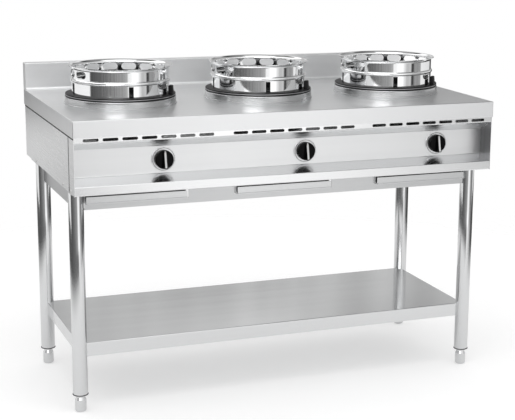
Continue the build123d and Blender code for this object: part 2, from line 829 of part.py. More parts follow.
def make_runners():
    """Two angles per tray, from the front beam to the rear beam."""
    near = front + beam_setback + top_sheet
    angles = []
    gap = tray_side_play / 3
    for x in trays.values():
        for sign in (-1, 1):
            wall = x + sign * (tray_half_width + gap)
            across = sorted((wall, wall + sign * top_sheet))
            angle = block(across, (near, beam_rear), (runner_top - top_sheet,
                                                     runner_top - top_sheet + runner_height))
            across = sorted((wall + sign * top_sheet, wall - sign * runner_lip))
            angle += block(across, (near, beam_rear), (runner_top - top_sheet, runner_top))
            angles.append(angle)
    return group(angles)


def make_tray(x):
    """Shallow pan with a folded face in front of the beam."""
    near = front + tray_face_setback
    top = tray_bottom + tray_height
    side = tray_half_width
    face_half = tray_half_width + tray_face_overlap
    pan = block((x - side, x + side), (near, tray_rear), (tray_bottom, top))
    pan = fillet(pan.edges().filter_by(Axis.Y).group_by(Axis.Z)[0], bend_radius)
    pan -= block((x - side + sheet, x + side - sheet), (near + sheet, tray_rear - sheet),
                 (tray_bottom + sheet, top + past))
    face = block((x - face_half, x + face_half), (near - sheet, near), (tray_bottom, top))
    lip = block((x - face_half, x + face_half), (near - sheet - tray_lip, near - sheet),
                (tray_bottom, tray_bottom + sheet))
    return pan + face + lip


def make_shelf():
    """Shelf between the legs, edges folded down, corners cut round the legs."""
    shelf = block((-leg_x, leg_x), (leg_front, leg_back), (shelf_height - shelf_edge, shelf_height))
    shelf = fillet(shelf.faces().sort_by(Axis.Z)[-1].edges(), bend_radius)
    shelf -= block((-leg_x + sheet, leg_x - sheet), (leg_front + sheet, leg_back - sheet),
                   (shelf_height - shelf_edge - past, shelf_height - sheet))
    for x, y in leg_places().values():
        shelf -= rod(x, y, shelf_height - shelf_edge - past, shelf_height + past, leg_radius)
    return shelf


def make_side_screws():
    """Round-headed screws along the bottom of both sides."""
    screws = []
    level = body_bottom + screw_level
    for sign in (-1, 1):
        for y in side_screw_places():
            head = Pos(sign * (cab_side + screw_head / 2), y, level) * Rot(0, 90, 0) * Cylinder(
                screw_radius, screw_head)
            outside = head.faces().sort_by(Axis.X)[-1 if sign > 0 else 0]
            head = fillet(outside.edges(), screw_head / 2)
            shank = Pos(sign * (cab_side - sheet / 2), y, level) * Rot(0, 90, 0) * Cylinder(
                screw_radius / 2, 2 * sheet)
            screws.append(head + shank)
    return group(screws)


# ------------------------------------------------------------------ write it all
save("worktop", make_worktop())
save("backsplash", make_backsplash())
save("side_panel_left", make_side(-1))
save("side_panel_right", make_side(1))
save("fascia_cheek_left", make_cheek(-1))
save("fascia_cheek_right", make_cheek(1))
save("front_fascia", make_fascia())
save("back_panel", make_back_panel())
save("base_bearers", make_bearers())
save("burner_crossbars", make_crossbars())
save("front_beam", make_front_beam())
save("rear_beam", make_rear_beam())
save("side_beams", make_side_beams())
save("tray_runners", make_runners())
save("shelf", make_shelf())
save("side_screws", make_side_screws())
save("leg_bolts", make_leg_bolts())
save("gas_manifold", make_manifold())
save("gas_inlet", make_inlet())

for bay, bay_x in bays.items():
    save("burner_collar_" + bay, make_collar(bay_x))
    save("burner_plate_" + bay, make_burner_plate(bay_x, bay_turns[bay]))
    save("wok_ring_" + bay, make_wok_ring(bay_x, bay_turns[bay]))
    save("burner_" + bay, make_burner(bay_x))
    save("gas_tap_" + bay, make_valve(bay_x))
    save("tap_rotor_" + bay, make_rotor(bay_x))
    save("tap_spindle_" + bay, make_spindle(bay_x))
    save("knob_" + bay, make_knob(bay_x))
    save("drip_tray_" + bay, make_tray(trays[bay]))
save("knob_bezels", group([make_bezel(x) for x in bays.values()]))
save("feed_tubes", group([make_feed(x) for x in bays.values()]))
save("pilot_burners", group([make_pilot(x) for x in bays.values()]))

for place, (x, y) in leg_places().items():
    save("leg_" + place, make_leg(x, y))
    save("foot_" + place, make_foot(x, y))
save("foot_inserts", group([make_insert(x, y) for x, y in leg_places().values()]))
save("corner_plates", group([
    make_corner_plate(sign, leg_y, outward)
    for sign in (-1, 1) for leg_y, outward in ((leg_front, -1), (leg_back, 1))]))
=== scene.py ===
"""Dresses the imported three-burner wok range and sets it in a pale studio.

Metres, +Z up, the front of the range towards -Y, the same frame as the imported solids.
"""

import logging
import math
from dataclasses import dataclass
from enum import Enum
from typing import Any, Callable, ClassVar, Dict, Iterable, List, Sequence, Tuple, Union

import bmesh
import bpy
from mathutils import Matrix, Vector


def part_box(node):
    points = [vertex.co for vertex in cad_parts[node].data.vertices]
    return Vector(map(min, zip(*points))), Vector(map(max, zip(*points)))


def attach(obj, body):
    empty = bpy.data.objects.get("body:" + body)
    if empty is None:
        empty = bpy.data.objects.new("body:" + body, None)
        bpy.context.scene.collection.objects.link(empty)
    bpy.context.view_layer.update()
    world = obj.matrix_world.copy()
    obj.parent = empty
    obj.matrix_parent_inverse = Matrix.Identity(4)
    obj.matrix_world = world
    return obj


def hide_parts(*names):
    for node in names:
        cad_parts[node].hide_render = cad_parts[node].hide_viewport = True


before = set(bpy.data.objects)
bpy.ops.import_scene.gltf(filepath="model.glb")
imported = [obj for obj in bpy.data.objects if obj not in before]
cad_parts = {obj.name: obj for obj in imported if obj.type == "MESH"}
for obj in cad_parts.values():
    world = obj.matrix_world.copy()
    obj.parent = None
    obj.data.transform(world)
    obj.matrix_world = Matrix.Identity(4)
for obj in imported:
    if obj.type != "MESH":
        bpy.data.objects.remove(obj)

LOG = logging.getLogger("range")
MM = 0.001

Colour = Tuple[float, float, float]
Point = Tuple[float, ...]
Place = Tuple[float, float, float]
ORIGIN: Place = (0.0, 0.0, 0.0)
RIGHT: Place = (1.0, 0.0, 0.0)
INTO: Place = (0.0, 1.0, 0.0)
UP: Place = (0.0, 0.0, 1.0)


# ------------------------------------------------------------------ shader graphs
def maths(operation: str, turned: bool = False) -> Callable[..., "Signal"]:
    """Makes a method of Signal that adds one Math node.

    Args:
        operation: The node's operation.
        turned: Whether the other value comes first, as in 1 - mask.

    Returns:
        The method.
    """
    def method(self: "Signal", *others: Union["Signal", float]) -> "Signal":
        """Adds the node and returns its output."""
        values = [self, *others]
        return self.graph.node("ShaderNodeMath", values[::-1] if turned else values,
                               operation=operation)
    return method


class Signal:
    """One socket of a node tree; Python's operators on it add Math nodes."""

    __add__, __radd__ = maths("ADD"), maths("ADD", turned=True)
    __sub__, __rsub__ = maths("SUBTRACT"), maths("SUBTRACT", turned=True)
    __mul__, __rmul__ = maths("MULTIPLY"), maths("MULTIPLY", turned=True)
    __truediv__, __abs__ = maths("DIVIDE"), maths("ABSOLUTE")
    least, above = maths("MAXIMUM"), maths("GREATER_THAN")
    sine, cosine, bearing = maths("SINE"), maths("COSINE"), maths("ARCTAN2")

    def __init__(self, graph: "Graph", socket: Any) -> None:
        """Keeps the socket and the graph that it belongs to."""
        self.graph = graph
        self.socket = socket


class Graph:
    """Builds one node tree, through a single method that makes every node."""

    def __init__(self, tree: bpy.types.NodeTree) -> None:
        """Takes over a tree and empties it."""
        self.tree = tree
        self.tree.nodes.clear()

    def node(self, kind: str, values: Any = (), output: Union[int, str] = 0,
             **settings: Any) -> Signal:
        """Adds a node.

        Args:
            kind: Blender's name of the node type.
            values: Numbers, colours or signals for the inputs, as a list from the
                first input on, or as a dictionary by socket name or number.
            output: Which output to return.
            settings: Properties, which are set first; stops fill a colour ramp.

        Returns:
            The chosen output, or the first input of a node that has no output.
        """
        made = self.tree.nodes.new(kind)
        for key, value in settings.items():
            if key != "stops":
                setattr(made, key, value)
                continue
            elements = made.color_ramp.elements
            while len(elements) < len(value):
                elements.new(1.0)
            for element, (position, colour) in zip(elements, value):
                element.position, element.color = position, rgba(colour)
        for key, value in values.items() if isinstance(values, dict) else enumerate(values):
            if isinstance(value, Signal):
                self.tree.links.new(value.socket, made.inputs[key])
            else:
                made.inputs[key].default_value = value
        return Signal(self, made.outputs[output] if made.outputs else made.inputs[0])

    def place(self) -> Signal:
        """Object coordinates, which are the range's own metres."""
        return self.node("ShaderNodeTexCoord", output="Object")

    def vector(self, operation: str, *values: Any, output: Union[int, str] = 0) -> Signal:
        """Adds a Vector Math node."""
        return self.node("ShaderNodeVectorMath", values, output, operation=operation)

    def split(self, vector: Signal) -> List[Signal]:
        """The three parts of a vector."""
        parts = self.node("ShaderNodeSeparateXYZ", [vector]).socket.node.outputs
        return [Signal(self, socket) for socket in parts]

    def join(self, x: Any, y: Any, z: Any) -> Signal:
        """A vector from its parts."""
        return self.node("ShaderNodeCombineXYZ", [x, y, z])

    def scaled(self, colour: Signal, gain: Signal) -> Signal:
        """A colour or vector times a number."""
        return self.vector("MULTIPLY", colour, self.join(gain, gain, gain))

    def noise(self, vector: Signal, scale: float, detail: float = 2.0,
              roughness: float = 0.5) -> Signal:
        """Smooth noise from nought to one."""
        return self.node("ShaderNodeTexNoise", {
            "Vector": vector, "Scale": scale, "Detail": detail, "Roughness": roughness})

    def mix(self, factor: Any, low: Any, high: Any) -> Signal:
        """Blend of two colours."""
        return self.node("ShaderNodeMix", {0: factor, 6: low, 7: high}, 2, data_type="RGBA")

    def ramp(self, value: Signal, stops: Sequence[Tuple[float, Colour]]) -> Signal:
        """Colours along a value."""
        return self.node("ShaderNodeValToRGB", [value], stops=stops)

    def step(self, value: Signal, start: float, end: float) -> Signal:
        """Smooth rise from nought to one between two values."""
        return self.node("ShaderNodeMapRange", {
            "Value": value, "From Min": start, "From Max": end},
            interpolation_type="SMOOTHSTEP")

    def bump(self, height: Signal, distance: float) -> Signal:
        """Normal from a height."""
        return self.node("ShaderNodeBump", {
            "Strength": 1.0, "Distance": distance, "Height": height})


def rgba(colour: Colour) -> Tuple[float, ...]:
    """A colour with full alpha."""
    return (*colour, 1.0)


def grey(level: float) -> Colour:
    """Plain grey."""
    return (level, level, level)


def stainless(level: float) -> Colour:
    """The faintly blue grey of stainless steel."""
    return (level, level + 0.005, level + 0.01)


# ----------------------------------------------------------------------- finishes
class Grain(Enum):
    """Which way the brushing of a metal runs, as the stretch of its coordinates."""

    ACROSS = (0.012, 1.0, 1.0)
    INWARD = (1.0, 0.012, 1.0)
    UPRIGHT = (1.0, 1.0, 0.012)
    ROUND = (1.0, 1.0, 0.0)
    SPUN = (1.0, 0.0, 1.0)


@dataclass(frozen=True)
class Finish:
    """A material of the range."""

    label: str
    colour: Colour
    roughness: float
    metallic: float = 0.0
    made: ClassVar[Dict[str, bpy.types.Material]] = {}

    def material(self) -> bpy.types.Material:
        """Builds the material once and returns it."""
        if self.label not in self.made:
            material, graph = new_material(self.label)
            values = {"Base Color": rgba(self.colour), "Roughness": self.roughness,
                      "Metallic": self.metallic, **self.surface(graph)}
            shader = graph.node("ShaderNodeBsdfPrincipled", values)
            graph.node("ShaderNodeOutputMaterial", {"Surface": shader})
            self.made[self.label] = material
        return self.made[self.label]

    def surface(self, graph: Graph) -> Dict[str, Any]:
        """Values and links for the shader's inputs; each finish has its own."""
        return {}


def new_material(label: str) -> Tuple[bpy.types.Material, Graph]:
    """Starts a material.

    Args:
        label: Its name.

    Returns:
        The material, and an empty graph for its nodes.
    """
    material = bpy.data.materials.new(label)
    material.use_nodes = True
    return material, Graph(material.node_tree)


@dataclass(frozen=True)
class BrushedSteel(Finish):
    """Stainless sheet with a directional grain, soft streaks and faint wipe marks."""

    metallic: float = 1.0
    grain: Grain = Grain.ACROSS
    centre: Place = ORIGIN      # a point of the axis that the grain runs round
    streak: float = 0.05        # how far the broad streaks lighten and darken the sheet
    depth: float = 0.00002      # height of the grain

    def lines(self, graph: Graph) -> Signal:
        """Stretches the coordinates along the grain.

        Args:
            graph: The material's graph.

        Returns:
            Coordinates that are short across the grain and long along it.
        """
        spot = graph.vector("SUBTRACT", graph.place(), self.centre)
        stretched = graph.vector("MULTIPLY", spot, self.grain.value)
        if self.grain not in (Grain.ROUND, Grain.SPUN):
            return stretched
        x, y, z = graph.split(spot)
        radius = graph.vector("LENGTH", stretched, output="Value")
        return graph.join(radius, z if self.grain is Grain.ROUND else y, 0.02 * x)

    def surface(self, graph: Graph) -> Dict[str, Any]:
        """Grain as bump and roughness, streaks as a slight change of colour.

        Args:
            graph: The material's graph.

        Returns:
            Values and links for the shader's inputs.
        """
        lines = self.lines(graph)
        fine = graph.noise(lines, 900.0, 3.0, 0.6)
        broad = graph.noise(lines, 26.0, 2.0, 0.55)
        wiped = graph.noise(graph.place(), 5.0)
        low, high = (rgba(tuple(min(1.0, gain * part) for part in self.colour))
                     for gain in (1.0 - self.streak, 1.0 + self.streak))
        rough = self.roughness + 0.08 * (fine - 0.5) + 0.04 * (broad - 0.5) + 0.05 * (wiped - 0.5)
        return {"Base Color": graph.mix(broad, low, high), "Roughness": rough,
                "Normal": graph.bump(fine, self.depth)}


@dataclass(frozen=True)
class PanelSteel(BrushedSteel):
    """Brushed sheet whose upright panel is duller than the slopes above and below it."""

    level: float = 0.689        # height of the panel's middle
    reach: float = 0.046        # half the panel's height
    gloss: float = 0.16         # roughness that the slopes have less

    def surface(self, graph: Graph) -> Dict[str, Any]:
        """The brushed surface, with less roughness off the panel.

        Args:
            graph: The material's graph.

        Returns:
            Values and links for the shader's inputs.
        """
        values = super().surface(graph)
        away = abs(graph.split(graph.place())[2] - self.level)
        values["Roughness"] = values["Roughness"] - self.gloss * away.above(self.reach)
        return values


@dataclass(frozen=True)
class FrontLitSteel(BrushedSteel):
    """Brushed sheet with painted light that brightens it towards the front."""

    front_light: float = 0.32          # how much painted light brightens it for each metre forward

    def surface(self, graph: Graph) -> Dict[str, Any]:
        """The brushed surface, with painted light brightening it towards the front.

        Args:
            graph: The material's graph.

        Returns:
            Values and links for the shader's inputs.
        """
        values = super().surface(graph)
        # painted light: the sheet's colour gets lighter towards the front
        gain = 1.0 - self.front_light * graph.split(graph.place())[1]
        values["Base Color"] = graph.scaled(values["Base Color"], gain)
        return values


@dataclass(frozen=True)
class CheekSteel(BrushedSteel):
    """Brushed sheet whose face towards the recess stands in its shade."""

    outside: Colour = stainless(0.84)
    face: float = 0.5967        # distance from the middle plane where the outer face starts

    def surface(self, graph: Graph) -> Dict[str, Any]:
        """The brushed surface, with the outer face in plain steel.

        Args:
            graph: The material's graph.

        Returns:
            Values and links for the shader's inputs.
        """
        values = super().surface(graph)
        outer = abs(graph.split(graph.place())[0]).above(self.face)
        values["Base Color"] = graph.mix(outer, values["Base Color"], rgba(self.outside))
        return values


@dataclass(frozen=True)
class PolishedSteel(Finish):
    """Mirror-polished steel with hairlines that only show close to."""

    metallic: float = 1.0
    along: Place = (0.02, 0.02, 1.0)

    def surface(self, graph: Graph) -> Dict[str, Any]:
        """Hairlines as a slight change of roughness.

        Args:
            graph: The material's graph.

        Returns:
            Values and links for the shader's inputs.
        """
        hair = graph.noise(graph.vector("MULTIPLY", graph.place(), self.along), 1400.0, 2.0, 0.6)
        smear = graph.noise(graph.place(), 18.0)
        rough = self.roughness + 0.05 * (hair - 0.5) + 0.06 * (smear - 0.45)
        return {"Roughness": rough, "Normal": graph.bump(hair, 0.000004)}


@dataclass(frozen=True)
class CastIron(Finish):
    """Sand-cast iron, blackened, with a grain and rubbed spots."""

    rubbed: Colour = (0.12, 0.12, 0.125)

    def surface(self, graph: Graph) -> Dict[str, Any]:
        """Sand grain as bump, rubbed spots as colour.

        Args:
            graph: The material's graph.

        Returns:
            Values and links for the shader's inputs.
        """
        sand = graph.noise(graph.place(), 700.0, 4.0, 0.7)
        cloud = graph.noise(graph.place(), 40.0, 3.0, 0.6)
        return {"Base Color": graph.ramp(cloud, [(0.45, self.colour), (0.85, self.rubbed)]),
                "Roughness": self.roughness + 0.20 * (cloud - 0.5),
                "Specular IOR Level": 0.16, "Normal": graph.bump(sand, 0.0002)}


@dataclass(frozen=True)
class Moulded(Finish):
    """Moulded plastic with a fine spark-eroded texture."""

    texture: float = 0.00003
    shine: float = 0.22

    def surface(self, graph: Graph) -> Dict[str, Any]:
        """Fine texture as bump and a little gloss variation.

        Args:
            graph: The material's graph.

        Returns:
            Values and links for the shader's inputs.
        """
        pits = graph.noise(graph.place(), 1600.0)
        touch = graph.noise(graph.place(), 60.0)
        return {"Roughness": self.roughness + 0.15 * (touch - 0.5),
                "Specular IOR Level": self.shine, "Normal": graph.bump(pits, self.texture)}


@dataclass(frozen=True)
class Machined(Finish):
    """Turned or milled metal, such as brass taps and zinc-plated bolts."""

    metallic: float = 1.0
    tarnish: Colour = (0.30, 0.28, 0.25)

    def surface(self, graph: Graph) -> Dict[str, Any]:
        """Tool marks as bump, tarnish as a change of colour.

        Args:
            graph: The material's graph.

        Returns:
            Values and links for the shader's inputs.
        """
        spot = graph.place()
        marks = graph.noise(graph.vector("MULTIPLY", spot, (0.1, 1.0, 1.0)), 900.0)
        dull = graph.noise(spot, 90.0, 3.0, 0.6)
        return {"Base Color": graph.ramp(dull, [(0.40, self.colour), (0.95, self.tarnish)]),
                "Roughness": self.roughness + 0.25 * (dull - 0.5),
                "Normal": graph.bump(marks, 0.00003)}


SHEET = BrushedSteel("sheet brushed across", stainless(0.84), 0.24)
PANEL = PanelSteel("front brushed across", stainless(0.84), 0.36)
SHEET_TOP = FrontLitSteel("worktop brushed across", stainless(0.78), 0.36, streak=0.04,
                       depth=0.00003)
SHEET_BACK = BrushedSteel("backsplash brushed across", stainless(0.88), 0.40)
SHEET_SHELF = BrushedSteel("shelf brushed across", stainless(0.74), 0.13, depth=0.00001)
SHEET_SIDE = BrushedSteel("side brushed inward", stainless(0.84), 0.28, grain=Grain.INWARD,
                          streak=0.02)
CHEEK = CheekSteel("cheek brushed upright", (0.20, 0.20, 0.205), 0.30, grain=Grain.UPRIGHT,
                   streak=0.5)
TRAY = BrushedSteel("tray sheet", stainless(0.68), 0.26)
FRAME = BrushedSteel("frame steel", stainless(0.62), 0.32)
DARK_RIM = PolishedSteel("plug rim", (0.12, 0.12, 0.125), 0.22)
# bare metal of the plate's groove, lighter than the plate, and partly a painted highlight line
# along its rim
GROOVE_BARE_AND_HIGHLIGHT = BrushedSteel("turned groove", (0.42, 0.42, 0.43), 0.30)
MIRROR_STEEL = PolishedSteel("ring mirror polish", stainless(0.88), 0.06)
TUBE = PolishedSteel("tube polish", stainless(0.74), 0.10, along=(1.0, 1.0, 0.02))
BLACK_IRON = CastIron("black cast plate", (0.004, 0.004, 0.0045), 0.45, rubbed=(0.02, 0.02, 0.021))
BURNER_IRON = CastIron("burner casting", (0.05, 0.05, 0.052), 0.55, rubbed=grey(0.16))
KNOB_BLACK = Moulded("knob black", (0.0025, 0.0025, 0.0028), 0.28, shine=0.08)
POINTER_WHITE = Moulded("pointer white", (0.82, 0.82, 0.81), 0.40)
# the scale marks are print; the same dark material also paints the shade in the dial's groove
MARKS_AND_GROOVE_SHADE = Moulded("dial marks and groove shade", (0.05, 0.05, 0.055), 0.45, texture=0.00001)
# painted shadow: near-black strips that stand for the shade in the gaps between the sheets
SEAM_SHADE = Moulded("painted seam shadow", (0.02, 0.02, 0.021), 0.70, shine=0.05)
TAP_BRASS = Machined("tap brass", (0.74, 0.56, 0.27), 0.32, tarnish=(0.45, 0.32, 0.15))
PLATED = Machined("plated fasteners", (0.72, 0.72, 0.71), 0.30, tarnish=(0.45, 0.45, 0.44))
PILOT = Machined("pilot steel", (0.55, 0.54, 0.52), 0.38)


# ------------------------------------------------------------------------- shapes
class Axis(Enum):
    """Axis that a turned piece goes round."""

    UP = "Z"
    OUT = "Y"


def rounded(corners: Sequence[Point], steps: int = 6, closed: bool = True) -> List[Point]:
    """Outline with its corners rounded.

    Args:
        corners: (across, along) or (across, along, radius) of each corner.
        steps: Straight pieces in each arc.
        closed: Whether the last corner joins the first.

    Returns:
        The points of the outline.
    """
    points: List[Point] = []
    for index, corner in enumerate(corners):
        here = Vector(corner[:2])
        if len(corner) < 3 or (not closed and index in (0, len(corners) - 1)):
            points.append(tuple(here))
            continue
        before = (Vector(corners[index - 1][:2]) - here).normalized()
        after = (Vector(corners[(index + 1) % len(corners)][:2]) - here).normalized()
        half_angle = math.acos(max(-1.0, min(1.0, before.dot(after)))) / 2
        middle = here + (before + after).normalized() * (corner[2] / math.sin(half_angle))
        reach = corner[2] / math.tan(half_angle)
        first = here + before * reach - middle
        sweep = first.angle_signed(here + after * reach - middle)
        for step in range(steps + 1):
            turn = Matrix.Rotation(-sweep * step / steps, 2)
            points.append(tuple(middle + turn @ first))
    return points


def oblong(half: float, low: float, high: float, radius: float = 0.0,
           steps: int = 6) -> List[Point]:
    """Outline of an upright rectangle.

    Args:
        half: Half its width.
        low: Level of its lower side.
        high: Level of its upper side.
        radius: Rounding of its corners.
        steps: Straight pieces in each arc.

    Returns:
        The points of the outline.
    """
    corners = ((-half, low), (half, low), (half, high), (-half, high))
    return rounded([(*corner, radius) for corner in corners], steps) if radius else list(corners)


def walled(line: Sequence[Point], thickness: float) -> List[Point]:
    """Closed outline of a sheet whose one face is an open line.

    Args:
        line: The face's points, in order.
        thickness: The wall, to the left of the line's direction.

    Returns:
        The face, followed by the other face in reverse.
    """
    ways = [(Vector(end) - Vector(start)).normalized() for start, end in zip(line, line[1:])]
    other: List[Point] = []
    for index, point in enumerate(line):
        sides = [Vector((-way.y, way.x)) for way in ways[max(0, index - 1):index + 1]]
        side = sum(sides, Vector((0.0, 0.0))).normalized()
        other.append(tuple(Vector(point) + side * (thickness / max(0.3, side.dot(sides[0])))))
    return list(line) + other[::-1]


def divided(line: Sequence[Point], longest: float) -> List[Point]:
    """Adds points to a line.

    Args:
        line: Its points, in order.
        longest: Length that no piece of the result is over.

    Returns:
        All the points.
    """
    points: List[Point] = [tuple(line[0])]
    for start, end in zip(line, line[1:]):
        pieces = max(1, math.ceil(math.dist(start, end) / longest))
        points += [tuple(a + (b - a) * step / pieces for a, b in zip(start, end))
                   for step in range(1, pieces + 1)]
    return points


class Form:
    """A mesh that is being made, and then becomes a piece of the range."""

    def __init__(self, name: str) -> None:
        """Starts an empty mesh."""
        self.name = name
        self.mesh = bmesh.new()

    def turn(self, outline: Sequence[Point], centre: Place = ORIGIN, axis: Axis = Axis.UP,
             segments: int = 96, closed: bool = True) -> "Form":
        """Adds an outline of (radius, height) swept round an axis.

        Args:
            outline: Points of the outline; heights are absolute.
            centre: A point of the axis.
            axis: Upright, or along Y.
            segments: Steps round the circle.
            closed: Whether the outline's last point joins its first.

        Returns:
            This form.
        """
        rings = []
        for step in range(segments):
            angle = 2 * math.pi * step / segments
            across, along = math.cos(angle), math.sin(angle)
            spots = [(centre[0] + radius * across, centre[1] + radius * along, height)
                     if axis is Axis.UP else
                     (centre[0] + radius * across, height, centre[2] + radius * along)
                     for radius, height in outline]
            rings.append([self.mesh.verts.new(spot) for spot in spots])
        for here, there in zip(rings, rings[1:] + rings[:1]):
            for index in range(len(outline) if closed else len(outline) - 1):
                after = (index + 1) % len(outline)
                self.mesh.faces.new((here[index], there[index], there[after], here[after]))
        return self.settled()

    def extrude(self, outline: Sequence[Point], origin: Place, across: Place, along: Place,
                depth: float) -> "Form":
        """Adds a flat outline pushed out into a prism, half the depth to each side.

        Args:
            outline: Points of the outline, measured along two directions.
            origin: Where the outline's own origin is.
            across: Direction of an outline point's first number.
            along: Direction of its second number.
            depth: Thickness of the prism.

        Returns:
            This form.
        """
        u, v = Vector(across).normalized(), Vector(along).normalized()
        push = u.cross(v) * (depth / 2)
        base = [Vector(origin) + u * a + v * b for a, b in outline]
        low, high = ([self.mesh.verts.new(spot + side) for spot in base] for side in (-push, push))
        self.mesh.faces.new(low[::-1])
        self.mesh.faces.new(high)
        for index in range(len(base)):
            after = (index + 1) % len(base)
            self.mesh.faces.new((low[index], low[after], high[after], high[index]))
        return self.settled()

    def settled(self) -> "Form":
        """Merges doubled points and turns all faces outwards.

        Returns:
            This form.
        """
        bmesh.ops.remove_doubles(self.mesh, verts=self.mesh.verts[:], dist=1e-6)
        bmesh.ops.dissolve_degenerate(self.mesh, edges=self.mesh.edges[:], dist=1e-6)
        bmesh.ops.recalc_face_normals(self.mesh, faces=self.mesh.faces[:])
        return self

    def bevelled(self, width: float, steps: int = 3) -> "Form":
        """Rounds every edge sharper than 50 degrees.

        Args:
            width: How far from the edge the rounding starts.
            steps: Straight pieces in its arc.

        Returns:
            This form.
        """
        sharp = [edge for edge in self.mesh.edges if len(edge.link_faces) == 2
                 and edge.calc_face_angle(0.0) > math.radians(50.0)]
        bmesh.ops.bevel(self.mesh, geom=sharp, offset=width, segments=steps, profile=0.5,
                        affect="EDGES", clamp_overlap=True)
        return self

    def object(self) -> bpy.types.Object:
        """Ends the making.

        Returns:
            The object of the scene that the mesh has become.
        """
        data = bpy.data.meshes.new(self.name)
        self.mesh.to_mesh(data)
        self.mesh.free()
        made = bpy.data.objects.new(self.name, data)
        bpy.context.scene.collection.objects.link(made)
        return made


def bake(piece: bpy.types.Object) -> None:
    """Applies every modifier of a piece to its mesh.

    Args:
        piece: The object.
    """
    bpy.context.view_layer.update()
    graph = bpy.context.evaluated_depsgraph_get()
    data = bpy.data.meshes.new_from_object(piece.evaluated_get(graph), depsgraph=graph)
    piece.modifiers.clear()
    piece.data = data


def combined(piece: bpy.types.Object, operation: str, form: Form) -> bpy.types.Object:
    """Joins a form to a piece, or takes it out of it.

    Args:
        piece: The object that stays.
        operation: UNION or DIFFERENCE.
        form: The other shape, which is used up.

    Returns:
        The same object.
    """
    other = form.object()
    boolean = piece.modifiers.new("boolean", "BOOLEAN")
    boolean.operation = operation
    boolean.solver = "EXACT"
    boolean.object = other
    bake(piece)
    bpy.data.objects.remove(other)
    return piece


def finished(piece: bpy.types.Object, finish: Finish, body: str,
             replaces: Iterable[str] = (), crease: float = 35.0) -> None:
    """Gives a piece its finish and its place in the range.

    Args:
        piece: The object.
        finish: Its finish.
        body: The moving body that it rides on.
        replaces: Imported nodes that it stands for.
        crease: Edges sharper than this many degrees stay sharp.
    """
    piece.data.materials.clear()
    piece.data.materials.append(finish.material())
    for face in piece.data.polygons:
        face.use_smooth = True
    piece.data.set_sharp_from_angle(angle=math.radians(crease))
    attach(piece, body)
    for node in replaces:
        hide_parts(node)
    LOG.info("%s on %s: %d faces", piece.name, body, len(piece.data.polygons))


def middle_of(node: str) -> Vector:
    """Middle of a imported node's box."""
    low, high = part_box(node)
    return (low + high) / 2


# ----------------------------------------------------------------------- the bays
class Bay(Enum):
    """A cooking place."""

    LEFT = "left"
    CENTRE = "centre"
    RIGHT = "right"


